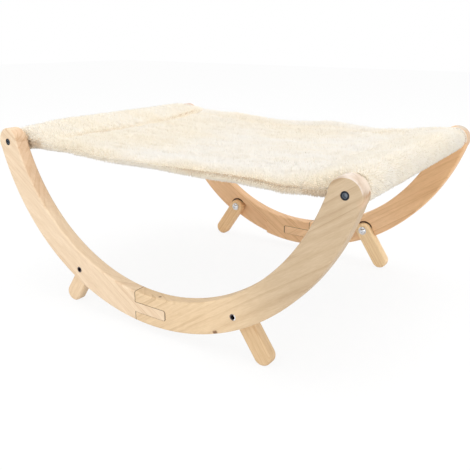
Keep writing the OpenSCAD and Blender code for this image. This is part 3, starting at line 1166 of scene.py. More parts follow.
@dataclass
class FingerJoint:
    """The dark line round the fingers that join the two halves of an arc: dried glue, and painted shadow of
    the gap.
    """

    # Reach of the fingers either side of the middle, and heights of the middle finger's edges
    reach: float = 0.0230
    low: float = 0.02167
    high: float = 0.03433
    corner_r: float = 0.0025
    # Heights of the arc's own edges at the roots, its faces and their round-over
    bottom: float = 0.01002
    top: float = 0.04817
    outer_y: float = 0.1900
    inner_y: float = 0.1720
    edge_r: float = 0.0025
    # Half width of the dark line along the upper edge, the tip, the lower edge and the roots
    upper_half: float = 0.00026
    tip_half: float = 0.00070
    lower_half: float = 0.00006
    root_half: float = 0.00040
    # How far the line stands out of the wood
    proud: float = 0.00005
    # Points round a quarter turn
    turn_points: int = 6

    def finger(self) -> Shape:
        """The line round the middle finger, from its upper root to its lower one.

        Returns:
            Points and faces.
        """
        turn = np.linspace(math.pi / 2, 0.0, self.turn_points)
        tip, c = self.reach, self.corner_r
        bend = np.stack([tip - c + c * np.cos(turn), c * np.sin(turn)], axis=1)
        over = bend + (0.0, self.high - c)
        under = bend[::-1] * (1.0, -1.0) + (0.0, self.low + c)
        path = np.concatenate([[(-tip, self.high)], over, under, [(-tip, self.low)]])
        halves = np.concatenate([
            [self.upper_half], np.linspace(self.upper_half, self.tip_half, self.turn_points),
            np.linspace(self.tip_half, self.lower_half, self.turn_points), [self.lower_half],
        ])
        along = np.gradient(path, axis=0)
        along /= np.linalg.norm(along, axis=1, keepdims=True)
        aside = np.stack([-along[:, 1], along[:, 0]], axis=1) * halves[:, None]
        outer, inner = -self.outer_y - self.proud, -self.inner_y + self.proud
        rings = [
            np.insert(path + way * aside, 1, y, axis=1)
            for way, y in ((1, outer), (-1, outer), (-1, inner), (1, inner))
        ]
        points = np.stack(rings, axis=1).reshape(-1, 3)
        faces = [
            (4 * i + k, 4 * i + (k + 1) % 4, 4 * i + 4 + (k + 1) % 4, 4 * i + 4 + k)
            for i in range(len(path) - 1) for k in range(4)
        ]
        last = 4 * (len(path) - 1)
        return points, faces + [(3, 2, 1, 0), (last, last + 1, last + 2, last + 3)]

    def root(self, start: float, end: float) -> Shape:
        """The line between a finger's root and an edge of the arc, round-over and all.

        Args:
            start: Height where it leaves the middle finger.
            end: Height of the arc's edge.

        Returns:
            Points and faces.
        """
        way = math.copysign(1.0, end - start)
        turn = np.linspace(0.0, math.pi / 2, self.turn_points)
        rim = self.edge_r
        y = np.concatenate([
            [-self.outer_y], -self.outer_y + rim * (1 - np.cos(turn)),
            -self.inner_y - rim * (1 - np.cos(turn[::-1])), [-self.inner_y],
        ])
        rise = rim * (1 - np.sin(turn))
        z = np.concatenate([[start], end - way * rise, end - way * rise[::-1], [start]])
        middle = np.array([-(self.outer_y + self.inner_y) / 2, (start + end) / 2])
        away = np.stack([y, z], axis=1) - middle
        shape = middle + away * (1.0 + self.proud / np.abs(away).max(axis=0))
        count = len(shape)
        sides = [np.insert(shape, 0, -self.reach + side * self.root_half, axis=1) for side in (-1, 1)]
        faces = [(i, (i + 1) % count, count + (i + 1) % count, count + i) for i in range(count)]
        return np.concatenate(sides), faces + [tuple(range(count))[::-1], tuple(range(count, 2 * count))]

    def build(self) -> None:
        """Makes the glue-and-shadow lines of both arcs; the rear arc is the front one turned round."""
        glue = GlueAndShadowFinish().build()
        points, faces = [], []
        for some, theirs in (self.finger(), self.root(self.high, self.top), self.root(self.low, self.bottom)):
            first = sum(len(earlier) for earlier in points)
            points.append(some)
            faces += [tuple(first + i for i in face) for face in theirs]
        points = np.concatenate(points)
        for name, turned in (("front", 1.0), ("rear", -1.0)):
            line = add_mesh(f"{name}_glue_line", points * (turned, turned, 1.0), faces)
            mesh = bmesh.new()
            mesh.from_mesh(line.data)
            bmesh.ops.recalc_face_normals(mesh, faces=mesh.faces)
            mesh.to_mesh(line.data)
            mesh.free()
            line.data.polygons.foreach_set("use_smooth", np.zeros(len(line.data.polygons), bool))
            wear(line, glue)
            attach(line, "frame")
            LOG.info("made %s", line.name)


@dataclass
class Hardware:
    """Bolts, screws, washers and inserts."""

    black: SteelFinish = SocketBoltFinish("black_oxide", (0.020, 0.024, 0.030), (0.060, 0.070, 0.085), 0.34)
    screw: SteelFinish = LegScrewFinish("bright_screw", (0.72, 0.73, 0.75), (0.60, 0.60, 0.61), 0.22)
    bright: SteelFinish = SteelFinish("bright_zinc", (0.72, 0.73, 0.75), (0.60, 0.60, 0.61), 0.22)
    dull: SteelFinish = LegInsertFinish("dull_insert", (0.16, 0.13, 0.13), (0.28, 0.24, 0.23), 0.35)

    def dress(self, nodes: dict[str, bpy.types.Object]) -> None:
        """Gives every steel node its plating.

        Args:
            nodes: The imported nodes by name.
        """
        for endings, finish in (
            (("rod_bolt",), self.black),
            (("leg_screw",), self.screw),
            (("leg_washer", "rod_insert"), self.bright),
            (("leg_insert",), self.dull),
        ):
            plating = finish.build()
            for name in nodes:
                if name.endswith(endings):
                    wear(nodes[name], plating)
                    LOG.info("plated %s in %s", name, finish.name)


@dataclass(frozen=True)
class SoftBox:
    """A square studio lamp."""

    name: str
    place: Point
    target: Point
    # Its side in metres and its power in watts
    size: float
    power: float

    def add(self) -> None:
        """Hangs the lamp."""
        lamp = add_object(self.name, bpy.data.lights.new(self.name, "AREA"))
        lamp.data.size = self.size
        lamp.data.energy = self.power
        lamp.location = self.place
        lamp.rotation_euler = (Vector(self.target) - Vector(self.place)).to_track_quat("-Z", "Y").to_euler()


@dataclass
class Studio:
    """Camera, light and floor."""

    eye: Point = (0.4271, -0.6497, 0.3338)
    yaw_deg: float = 33.794
    pitch_deg: float = 18.747
    roll_deg: float = 0.3725
    lens_mm: float = 44.70
    lamps: tuple[SoftBox, ...] = (
        SoftBox("key_lamp", (-0.9, -1.5, 1.7), (0.0, 0.0, 0.1), 1.5, 6.0),
        SoftBox("front_lamp", (0.7, -2.0, 0.4), (0.0, 0.0, 0.1), 1.2, 5.0),
        SoftBox("right_lamp", (2.0, -0.6, 0.7), (0.1, 0.0, 0.1), 1.2, 6.0),
        SoftBox("top_lamp", (0.2, 0.1, 2.2), (0.0, 0.0, 0.1), 1.8, 20.0),
    )
    ambient: float = 0.92
    floor_half: float = 6.0
    floor_colour: Colour = (0.9, 0.9, 0.9)
    # How much of the floor's white is shaded by the object
    shadow_share: float = 0.12

    def build(self) -> None:
        """Makes the camera, the lamps, the floor and the world."""
        self.add_camera()
        for lamp in self.lamps:
            lamp.add()
        self.add_floor()
        self.add_world()
        bpy.context.scene.view_settings.view_transform = "Standard"

    def add_camera(self) -> None:
        """Places the camera where the photograph was taken from."""
        yaw, pitch, roll = (math.radians(a) for a in (self.yaw_deg, self.pitch_deg, self.roll_deg))
        ahead = Vector((-math.sin(yaw) * math.cos(pitch), math.cos(yaw) * math.cos(pitch), -math.sin(pitch)))
        level = Vector((math.cos(yaw), math.sin(yaw), 0.0))
        above = level.cross(ahead)
        right = math.cos(roll) * level + math.sin(roll) * above
        up = math.cos(roll) * above - math.sin(roll) * level
        camera = add_object("camera", bpy.data.cameras.new("camera"))
        camera.data.lens = self.lens_mm
        turn = Matrix((right, up, -ahead)).transposed().to_4x4()
        camera.matrix_world = Matrix.Translation(self.eye) @ turn
        bpy.context.scene.camera = camera

    def seen_directly(self, graph: Graph) -> Socket:
        """1 for rays that show the backdrop itself: to the camera, in gloss or through glass.

        Args:
            graph: The graph to add to.

        Returns:
            The share.
        """
        path = graph.add("ShaderNodeLightPath").outputs
        either = graph.maths("MAXIMUM", path["Is Camera Ray"], path["Is Glossy Ray"])
        return graph.maths("MAXIMUM", either, path["Is Transmission Ray"])

    def add_floor(self) -> None:
        """Adds a white floor that keeps a faint shadow."""
        half = self.floor_half
        corners = np.array([[-half, -half, 0], [half, -half, 0], [half, half, 0], [-half, half, 0]])
        floor = add_mesh("floor", corners, [(0, 1, 2, 3)])
        material = bpy.data.materials.new("white_floor")
        material.use_nodes = True
        graph = Graph(material.node_tree)
        matt = graph.add("ShaderNodeBsdfDiffuse", {"Color": rgba(self.floor_colour)}).outputs["BSDF"]
        white = graph.add("ShaderNodeEmission", {"Strength": 1.0}).outputs["Emission"]
        share = graph.maths("MULTIPLY", self.seen_directly(graph), 1.0 - self.shadow_share)
        mixed = graph.add("ShaderNodeMixShader", {0: share, 1: matt, 2: white}).outputs["Shader"]
        graph.add("ShaderNodeOutputMaterial", {"Surface": mixed})
        wear(floor, material)

    def add_world(self) -> None:
        """Adds a white world, dimmer as a light than as a backdrop."""
        world = bpy.data.worlds.new("white_room")
        world.use_nodes = True
        bpy.context.scene.world = world
        graph = Graph(world.node_tree)
        direct = self.seen_directly(graph)
        strength = graph.maths("MULTIPLY_ADD", direct, 1.0 - self.ambient, self.ambient)
        sky = graph.add("ShaderNodeBackground", {"Color": rgba(WHITE), "Strength": strength})
        graph.add("ShaderNodeOutputWorld", {"Surface": sky.outputs["Background"]})


def grid_faces(rows: int, columns: int, first: int = 0) -> list[tuple[int, int, int, int]]:
    """The quads of a grid of points.

    Args:
        rows: Points down the grid.
        columns: Points along a row.
        first: The number of the grid's first point.

    Returns:
        The quads, by point number.
    """
    corners = (first + r * columns + c for r in range(rows - 1) for c in range(columns - 1))
    return [(corner, corner + 1, corner + columns + 1, corner + columns) for corner in corners]


def add_shell(name: str, outer: np.ndarray, inner: np.ndarray) -> bpy.types.Object:
    """Joins two grids of points into one closed piece of cloth.

    Args:
        name: The object's name.
        outer: The grid of the side with the pile, rows by columns.
        inner: The grid of the back, point for point behind the outer one.

    Returns:
        The closed object, with its faces pointing outwards.
    """
    rows, columns = outer.shape[:2]
    count = rows * columns
    faces = grid_faces(rows, columns) + [face[::-1] for face in grid_faces(rows, columns, count)]
    rim = list(range(columns))
    rim += [r * columns + columns - 1 for r in range(1, rows)]
    rim += [(rows - 1) * columns + c for c in range(columns - 2, -1, -1)]
    rim += [r * columns for r in range(rows - 2, 0, -1)]
    faces += [(b, a, a + count, b + count) for a, b in zip(rim, rim[1:] + rim[:1])]
    points = np.concatenate([outer.reshape(-1, 3), inner.reshape(-1, 3)])
    quads = points[np.array(faces)]
    cross = np.cross(quads[:, 2] - quads[:, 0], quads[:, 3] - quads[:, 1])
    if np.einsum("ij,ij->i", quads.mean(axis=1) - points.mean(axis=0), cross).sum() < 0.0:
        faces = [face[::-1] for face in faces]
    return add_mesh(name, points, faces)


def ripple(places: Sequence[np.ndarray], seed: int, waves: int = 24) -> np.ndarray:
    """Smooth seeded unevenness between about -1 and 1, from a sum of slanting waves.

    Args:
        places: Coordinates in units of the unevenness's own size.
        seed: The seed.
        waves: How many waves are summed.

    Returns:
        The unevenness at each place.
    """
    draw = np.random.default_rng(seed)
    total = np.zeros(np.broadcast(*places).shape)
    for _ in range(waves):
        pull = draw.normal(size=len(places))
        slant = sum(p * a for p, a in zip(pull, places))
        total = total + np.sin(slant * math.tau + draw.uniform(0, math.tau))
    return total / math.sqrt(waves)


def resample(grid: np.ndarray, v: np.ndarray, u: np.ndarray) -> np.ndarray:
    """Reads an even grid over -1 to 1 both ways at other places.

    Args:
        grid: The points, rows by columns.
        v: Row places.
        u: Column places.

    Returns:
        The points read, rows by columns.
    """
    rows, columns = grid.shape[:2]
    r = np.clip((v + 1.0) / 2.0 * (rows - 1), 0, rows - 1.000001)
    c = np.clip((u + 1.0) / 2.0 * (columns - 1), 0, columns - 1.000001)
    r0, c0 = r.astype(int), c.astype(int)
    fr, fc = (r - r0)[:, None, None], (c - c0)[None, :, None]
    upper = grid[r0][:, c0] * (1 - fc) + grid[r0][:, c0 + 1] * fc
    lower = grid[r0 + 1][:, c0] * (1 - fc) + grid[r0 + 1][:, c0 + 1] * fc
    return upper * (1 - fr) + lower * fr


@dataclass(frozen=True)
class SleeveMake:
    """What differs between the two sleeves."""

    # Cloth thickness over the rod at the near end, and how much is lost towards the far end
    near_t: float
    far_loss: float
    # Whether the near end is round the rod, as both far ends are, and not drawn shut
    round_near: bool
    # How deep the seam is drawn in, and how much pile is left where the ends are tucked in
    drawn_in: float
    tucked: float
    # How shaded the near end, the fold of the near end, the seam, the whole sleeve and its lower half are
    end_shade: float
    fold_shade: float
    seam_shade: float
    shade: float
    lower_shade: float


@dataclass(frozen=True)
class LayerPlaces:
    """Where the points of a layer's grid are, in arrays that spread over its rows and columns."""

    # Places between the seams, -1 at the left
    u: np.ndarray
    # Share of the full height, and how far a point is out of the tuck
    share: np.ndarray
    open_share: np.ndarray
    # Distances
    from_seam: np.ndarray
    from_edge: np.ndarray
    from_front: np.ndarray
    from_rear: np.ndarray
    # The middle surface
    middle: np.ndarray


@dataclass(frozen=True)
class SleevePlaces:
    """Where the points of a sleeve's grid are, in arrays that spread over its rows and columns."""

    # Places along the rod, and sections as distances towards the sling and heights above the rod's axis
    y: np.ndarray
    toward: np.ndarray
    above: np.ndarray
    # Share of the full height, how far a point is out of the tuck, and how full the sleeve is
    full: np.ndarray
    open_share: np.ndarray
    fullest: np.ndarray
    # Distances
    from_seam: np.ndarray
    from_edge: np.ndarray
    from_front: np.ndarray
    from_rear: np.ndarray
    # 1 beneath the rod
    under_rod: np.ndarray


@dataclass
class Sling:
    """Two plush layers sewn edge to edge, hung between the seams of two sleeves that ride on the rods."""

    # How the sheet hangs: below the rods' axes, along its free edges and in its middle
    seam_drop: float = 0.0025
    edge_sag: float = 0.0035
    belly_sag: float = 0.0040
    edge_draw: float = 0.0020
    # Places along the near edge, -1 to 1 from seam to seam, and how far it is pulled up or hangs down there
    near_edge: tuple[tuple[float, ...], tuple[float, ...]] = (
        (-1.0, -0.8, -0.6, -0.45, -0.28, -0.1, 0.1, 0.3, 0.5, 0.69, 0.78, 0.87, 1.0),
        (
            0.0, 0.0016, 0.0006, 0.0002, 0.0014, 0.0023, 0.0021, 0.0020, 0.0026, 0.0016, 0.0007, -0.0008,
            -0.0033,
        ),
    )
    # How far the rear ends of the left and right seams are pulled up, and the rear edge between them
    rear_rise: tuple[float, float] = (0.0060, 0.0030)
    rear_tight: float = 0.0032
    # Humps of the rear edge: height, place and width
    rear_humps: tuple[tuple[float, float, float], ...] = ((0.0030, -0.62, 0.25), (0.0050, 0.38, 0.22))
    # The sheet's simulation: points each way, moments, and how far a point may settle
    hang_grid: tuple[int, int] = (84, 90)
    hang_moments: int = 24
    hang_reach: float = 0.0035
    # One layer: its thickness under the pile, its edge and its hem
    layer_t: float = 0.0070
    layer_gap: float = 0.00015
    lip_t: float = 0.0005
    front_roll: float = 0.0180
    rear_roll: float = 0.0120
    edge_tuck_deg: float = 8.0
    hem_rise: float = 0.0022
    hem_at: float = 0.0135
    hem_w: float = 0.0140
    # Points: a layer's rows from roll to middle, its columns, a sleeve's rows, and rows round a roll
    layer_rows: int = 62
    layer_columns: int = 132
    sleeve_rows: int = 44
    roll_rows: int = 12
    # The sleeve round a rod
    rod_clear: float = 0.0006
    sleeve_top_t: float = 0.0063
    sleeve_taper: float = 0.070
    sleeve_wall: float = 0.0005
    sleeve_end_wall: float = 0.0002
    gather_clear: float = 0.0004
    # How far the runs of cloth over and under the rod are bowed on their way to the seam
    upper_bow: float = 0.0010
    lower_bow: float = 0.0006
    # Points of a section round the rod, and of each run of cloth to the seam
    round_points: int = 44
    run_points: int = 17
    seam_half_t: float = 0.0068
    seam_gap: float = 0.0001
    left_make: SleeveMake = SleeveMake(0.0032, 0.0, False, 0.0034, 0.7, 0.85, 0.0, 0.75, 0.45, 0.15)
    right_make: SleeveMake = SleeveMake(0.0063, 0.0022, True, 0.0007, 0.95, 0.15, 0.55, 0.0, 0.4, 0.3)
    # The pile
    pile_depth: float = 0.0030
    tuft_pitch: float = 0.0013
    tuft_len: float = 0.0037
    tuft_w: float = 0.0019
    tuft_lean: float = 0.45
    tuft_ruffle: float = 0.25
    layer_nap: Point = (0.7, -0.35, -0.3)
    # Tints for warm patches, and for painted shade in creases, along seams and at the sleeves' ends
    warmth: Colour = (1.0, 0.965, 0.885)
    crease: Colour = (0.62, 0.44, 0.27)
    # The stitches
    stitch_pitch: float = 0.0042
    stitch_len: float = 0.0036
    stitch_t: float = 0.0010
    stitch_slant_deg: float = 8.0
    stitch_sink: float = 0.0028
    stitch_margin: float = 0.008
    # The cloth before it was sewn
    fullness: float = 0.018
    stretch: float = 1.0006
    sling_cut: tuple[float, float] = (0.357, 0.345)
    sleeve_cut: tuple[float, float] = (0.155, 0.338)
    # Seeds of what is uneven
    hang_seed: int = 5
    pile_seed: int = 11
    layer_seed: int = 21
    sleeve_seed: int = 31
    pucker_seed: int = 41
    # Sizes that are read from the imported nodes
    seam_x: float = field(init=False)
    half: float = field(init=False)
    rod_x: float = field(init=False)
    rod_z: float = field(init=False)
    rod_r: float = field(init=False)

    def __post_init__(self) -> None:
        """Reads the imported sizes, and makes the finishes and the node tools."""
        _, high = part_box("sling_top")
        rod_low, rod_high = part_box("right_rod")
        self.seam_x, self.half = high.x, high.y
        self.rod_x, self.rod_z = (rod_low.x + rod_high.x) / 2, (rod_low.z + rod_high.z) / 2
        self.rod_r = (rod_high.x - rod_low.x) / 2
        # The ground is a little darker than the tufts: painted shade between them
        self.ground = PlushFinish(
            "plush_ground", (0.935, 0.875, 0.785), (0.925, 0.855, 0.750), self.warmth, self.crease
        ).build()
        pile = PileFinish(
            "plush_pile", (0.955, 0.895, 0.80), (0.98, 0.93, 0.85), (0.99, 0.955, 0.895),
            self.warmth, self.crease,
        )
        self.pile = pile.build()
        self.thread = ThreadFinish("sewing_thread", (0.66, 0.50, 0.34)).build()
        self.pile_tool = PileTool(pile.tints)
        self.stitch_tool = StitchTool()

    @property
    def depth(self) -> float:
        """Half the sling's width without its pile."""
        return self.half - self.pile_depth

    @property
    def reach(self) -> float:
        """How far a seam is from its rod's axis."""
        return self.rod_x - self.seam_x

    @property
    def seam_z(self) -> float:
        """The height of the seams."""
        return self.rod_z - self.seam_drop

    def build(self) -> None:
        """Makes the layers, the sleeves, their pile and their stitches."""
        sheet = self.hang()
        for face in Face:
            self.make_layer(face, sheet)
        for side in Side:
            self.make_sleeve(side)

    def near_share(self, across: np.ndarray) -> np.ndarray:
        """How much of the near edge's own shape shows, by places across the sling."""
        return smooth_step(-0.5, -1.0, across)

    def rear_share(self, across: np.ndarray) -> np.ndarray:
        """How much of the rear edge's own shape shows, by places across the sling."""
        return smooth_step(0.35, 0.95, across)

    def hung_shape(self, v: np.ndarray, u: np.ndarray) -> np.ndarray:
        """The sheet's middle surface as it hangs, without folds.

        Args:
            v: Places across the sling, -1 at the front.
            u: Places between the seams, -1 at the left.

        Returns:
            Points, rows by columns.
        """
        across, along = np.meshgrid(v, u, indexing="ij")
        slack = 1.0 - along**2
        z = self.seam_z - slack * (self.edge_sag + self.belly_sag * (1.0 - across**4))
        z = z + np.interp(along, *self.near_edge) * self.near_share(across)
        rear = np.interp(along, (-1.0, 1.0), self.rear_rise) + self.rear_tight * slack
        for height, middle, width in self.rear_humps:
            rear = rear + height * bell(along, middle, width)
        z = z + rear * self.rear_share(across)
        edge = self.depth - self.edge_draw * slack
        return np.stack([along * self.seam_x, across * edge, z], axis=-1)

    def hang(self) -> np.ndarray:
        """Lets the sheet settle between its seams, where it is a little fuller than the seams are long.

        Returns:
            The settled middle surface, as an even grid.
        """
        rows, columns = self.hang_grid
        start = self.hung_shape(np.linspace(-1, 1, rows), np.linspace(-1, 1, columns))
        rough = start.copy()
        rough[..., 2] += 0.0003 * ripple((start[..., 0] / 0.06, start[..., 1] / 0.02), self.hang_seed)
        sheet = add_mesh("sheet_to_hang", rough, grid_faces(rows, columns))
        sewn = sheet.vertex_groups.new(name="sewn")
        sewn.add([r * columns + c for r in range(rows) for c in (0, columns - 1)], 1.0, "REPLACE")
        sheet.shape_key_add(name="hung")
        cut = sheet.shape_key_add(name="cut")
        cut.data.foreach_set("co", (start * (self.stretch, 1.0 + self.fullness, 1.0)).ravel())
        cut.value = 0.0
        cloth = sheet.modifiers.new("cloth", "CLOTH")
        for name, value in (
            ("quality", 8), ("mass", 0.2), ("tension_stiffness", 40.0), ("compression_stiffness", 40.0),
            ("shear_stiffness", 10.0), ("bending_stiffness", 0.15), ("air_damping", 3.0),
            ("vertex_group_mass", "sewn"), ("rest_shape_key", cut),
        ):
            setattr(cloth.settings, name, value)
        cloth.settings.effector_weights.gravity = 0.03
        cloth.collision_settings.use_collision = False
        scene = bpy.context.scene
        for moment in range(1, self.hang_moments + 1):
            scene.frame_set(moment)
        depsgraph = bpy.context.evaluated_depsgraph_get()
        points = np.empty(rows * columns * 3, np.float32)
        sheet.evaluated_get(depsgraph).data.vertices.foreach_get("co", points)
        scene.frame_set(1)
        bpy.data.objects.remove(sheet)
        moved = points.reshape(start.shape).astype(float) - start
        far = np.linalg.norm(moved, axis=-1, keepdims=True)
        LOG.info("sheet settled, moved %.1f mm at most", far.max() * 1000)
        return start + moved * np.minimum(1.0, self.hang_reach / np.maximum(far, 1e-9))

    def finish_cloth(self, piece: bpy.types.Object, node: str, coat: dict[str, np.ndarray],
                     nap: Point,
                     extras: list[bpy.types.Object]) -> None:
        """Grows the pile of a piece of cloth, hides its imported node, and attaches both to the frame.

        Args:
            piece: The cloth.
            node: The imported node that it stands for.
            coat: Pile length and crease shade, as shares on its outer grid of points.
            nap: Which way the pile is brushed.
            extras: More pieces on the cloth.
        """
        wear(piece, self.ground)
        for name, values in coat.items():
            write_attribute(piece, name, np.concatenate([values.ravel(), np.zeros(values.size)]))
        carrier = add_object("pile_carrier", piece.data.copy())
        pile = self.pile_tool.run(
            carrier, f"{node}_pile", Pitch=self.tuft_pitch, Length=self.tuft_len, Width=self.tuft_w,
            Lean=self.tuft_lean, Ruffle=self.tuft_ruffle, Nap=nap, Seed=self.pile_seed, Material=self.pile,
        )
        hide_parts(node)
        for part in (piece, pile, *extras):
            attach(part, "frame")
            LOG.info("made %s with %d faces", part.name, len(part.data.polygons))

    def edge_rows(self, inner_rows: int) -> tuple[np.ndarray, np.ndarray, np.ndarray]:
        """Rows of points across the sling, close together where its two edges roll over and tuck in.

        Args:
            inner_rows: How many rows lie between an edge's roll and the middle.

        Returns:
            Each row's Y, its share of the full height, and how far it is out of the tuck.
        """
        depth = self.depth
        tuck = math.radians(self.edge_tuck_deg)
        turn = np.linspace(-tuck, math.pi / 2, self.roll_rows)
        level = np.ones(inner_rows - 1)
        lift = np.concatenate([(np.sin(turn) + math.sin(tuck)) / (1.0 + math.sin(tuck)), level])
        clear = np.concatenate([smooth_step(-tuck, 0.15, turn), level])
        front, rear = (
            depth - np.concatenate([roll * (1 - np.cos(turn)), np.linspace(roll, depth, inner_rows)[1:]])
            for roll in (self.front_roll, self.rear_roll)
        )
        ends = ((-front, rear), (lift, lift), (clear, clear))
        return tuple(np.concatenate([near, far[::-1][1:]]) for near, far in ends)

    def layer_places(self, sheet: np.ndarray) -> LayerPlaces:
        """Spreads a layer's points over the settled sheet.

        Args:
            sheet: The settled middle surface.

        Returns:
            The points' places.
        """
        across, share, open_share = self.edge_rows(self.layer_rows)
        u = np.linspace(-1, 1, self.layer_columns) * (1.0 - self.seam_gap / self.seam_x)
        return LayerPlaces(
            u=u[None, :],
            share=share[:, None],
            open_share=open_share[:, None],
            from_seam=(self.seam_x * (1.0 - np.abs(u)))[None, :],
            from_edge=(self.depth - np.abs(across))[:, None],
            from_front=(self.depth + across)[:, None],
            from_rear=(self.depth - across)[:, None],
            middle=resample(sheet, across / self.depth, u),
        )

    def layer_height(self, face: Face, at: LayerPlaces) -> np.ndarray:
        """How thick a layer is: rolled at its edges, uneven, hemmed and drawn in at its seams.

        Args:
            face: Which layer.
            at: Its points' places.

        Returns:
            Heights, rows by columns.
        """
        x, y = at.middle[..., 0], at.middle[..., 1]
        height = self.lip_t + (self.layer_t - self.lip_t) * at.share
        height = height + 0.0006 * ripple((x / 0.09, y / 0.05), self.layer_seed + face.value) * at.share
        if face is Face.TOP:
            height = height + self.hem_rise * bell(at.from_rear, self.hem_at, self.hem_w) * at.share
            # The hem's line of sewing, and slanting pulls towards the right sleeve
            sewing = 0.0010 * bell(at.from_rear, 0.030, 0.008)
            height = height - sewing * smooth_step(0.002, 0.03, at.from_seam)
            pulls = np.sin((0.8 * x + 0.6 * y) / 0.034 * math.tau)
            height = height + 0.0006 * pulls * smooth_step(0.35, 0.8, at.u) * at.share
        else:
            # The near edge is taut towards the left, so its lower layer is thinner there
            taut = smooth_step(0.9, -0.2, at.u) * smooth_step(0.0, 0.03, at.from_seam)
            height = height * (1.0 - 0.5 * taut * smooth_step(0.06, 0.01, at.from_front))
        drawn_in = np.where(at.u < 0.0, 0.5, 0.1)
        seam_w = np.where(at.u < 0.0, 0.0075, 0.0045)
        sewn = smooth_step(0.012, 0.035, at.from_edge) * bell(at.from_seam, 0.0, seam_w)
        return height * (1.0 - drawn_in * sewn)

    def layer_coat(self, face: Face, at: LayerPlaces) -> dict[str, np.ndarray]:
        """A layer's pile and shade.

        Args:
            face: Which layer.
            at: Its points' places.

        Returns:
            Pile length and shade, as shares, rows by columns.
        """
        top = face is Face.TOP
        grown = self.shorn(at.from_seam, at.from_edge, at.u < 0.0) * (0.9 + 0.1 * at.open_share)
        # Painted shade in the near edge's crease, which is strongest right of the middle
        rightward = 0.35 + 0.65 * smooth_step(-0.5, 0.6, at.u) - 0.2 * smooth_step(0.85, 1.0, at.u)
        if top:
            crease_shade = 0.85 * np.clip(1.0 - at.share / 0.9, 0.0, 1.0)
        else:
            crease_shade = 0.66 * smooth_step(1.02, 0.75, at.share)
        crease = crease_shade * smooth_step(0.05, 0.02, at.from_front) * rightward
        # Painted shadow line along the seams, of which the left one shows
        left_seam = smooth_step(0.0, -0.2, at.u) * smooth_step(0.03, 0.09, at.from_front)
        seam = (0.15 + 0.75 * left_seam) * bell(at.from_seam, 0.0, 0.0018) * top
        # Warm patches: behind the middle, at the right end of the hem, and on the left
        warm = 0.5 * np.maximum.reduce([
            bell(at.from_rear, 0.075, 0.035) * bell(at.u, 0.2, 0.45),
            bell(at.from_rear, 0.030, 0.025) * bell(at.u, 0.9, 0.2),
            smooth_step(0.03, 0.07, at.from_rear) * smooth_step(0.0, -0.6, at.u),
        ])
        # Painted shade along the hem's line of sewing
        hem = (0.38 + 0.15 * smooth_step(0.3, 0.9, at.u)) * bell(at.from_rear, 0.032, 0.007) * top
        return {"pile": grown, "shade": np.maximum.reduce([crease, seam, warm, hem])}

    def make_layer(self, face: Face, sheet: np.ndarray) -> None:
        """Makes one layer of the sling.

        Args:
            face: Which layer.
            sheet: The settled middle surface.
        """
        at = self.layer_places(sheet)
        outer, back = at.middle.copy(), at.middle.copy()
        outer[..., 2] += face.value * np.maximum(self.layer_height(face, at), 2 * self.layer_gap)
        back[..., 2] += face.value * self.layer_gap
        piece = add_shell(f"{face.node}_plush", outer, back)
        coat = self.layer_coat(face, at)
        self.finish_cloth(piece, face.node, coat, self.layer_nap, [])

    def shorn(self, from_seam: np.ndarray, from_edge: np.ndarray, left: np.ndarray | bool) -> np.ndarray:
        """The pile's length by a seam, clipped closer at the left one and hardly at the seams' ends.

        Args:
            from_seam: Distances from the seam.
            from_edge: Distances from the nearer free edge.
            left: Where the left seam is the nearer one.

        Returns:
            Shares of the full length.
        """
        root = np.where(left, 0.1, 0.6)
        root = root + (0.85 - root) * smooth_step(0.030, 0.012, from_edge)
        return root + (1.0 - root) * smooth_step(0.001, 0.008, from_seam)

    def sleeve_outline(self, top_t: float) -> np.ndarray:
        """A sleeve's section, from the upper seam edge over and under the rod to the lower one.

        Args:
            top_t: Cloth thickness over the rod.

        Returns:
            Points as distances towards the sling and heights above the rod's axis.
        """
        top, bottom = self.rod_r + top_t, -self.rod_r - self.rod_clear
        radius, lift = (top - bottom) / 2, (top + bottom) / 2
        out = self.reach - self.seam_gap
        ends = [(out, -self.seam_drop + way * self.seam_half_t) for way in (1, -1)]
        angles = []
        for (a, z), turn in zip(ends, (1, -1)):
            way = math.atan2(z - lift, a)
            angles.append(way + turn * math.acos(radius / math.hypot(a, z - lift)))
        arc = np.linspace(angles[0], angles[1] + math.tau, self.round_points)
        round_rod = np.stack([radius * np.cos(arc), lift + radius * np.sin(arc)], axis=1)
        share = np.linspace(0, 1, self.run_points)[:-1, None]
        upper = (1 - share) * np.array(ends[0]) + share * round_rod[0]
        lower = (1 - share) * np.array(ends[1]) + share * round_rod[-1]
        upper[:, 1] += self.upper_bow * np.sin(math.pi * share[:, 0])
        lower[:, 1] += self.lower_bow * np.sin(math.pi * share[:, 0])
        return np.concatenate([upper, round_rod, lower[::-1]])

    def gathered_end(self, outline: np.ndarray) -> np.ndarray:
        """The sleeve's section where its end is sewn shut: close round the rod, then flat to the seam.

        Args:
            outline: The open sections.

        Returns:
            The shut sections, point for point.
        """
        close = self.rod_r + self.gather_clear
        a = outline[..., 0]
        middle = -self.seam_drop * np.clip(a / self.reach, 0.0, 1.0)
        way = np.where(np.arange(outline.shape[1]) < outline.shape[1] // 2, 1.0, -1.0)
        flat = middle + way * np.sqrt(np.maximum(close**2 - a**2, 0.0))
        shut = np.stack([a, flat], axis=-1)
        ring = outline * (close / np.linalg.norm(outline, axis=-1, keepdims=True))
        return np.where((a < 0.0)[..., None], ring, shut)

    def dip(self, side: Side, y: np.ndarray) -> np.ndarray:
        """How far a seam dips below its level line, as the sheet's own edge does there.

        Args:
            side: Which seam.
            y: Places along it.

        Returns:
            The dips.
        """
        across = y / self.depth
        place = (side.value + 1) // 2
        near, far = self.near_edge[1][-place], self.rear_rise[place]
        return -near * self.near_share(across) - far * self.rear_share(across)

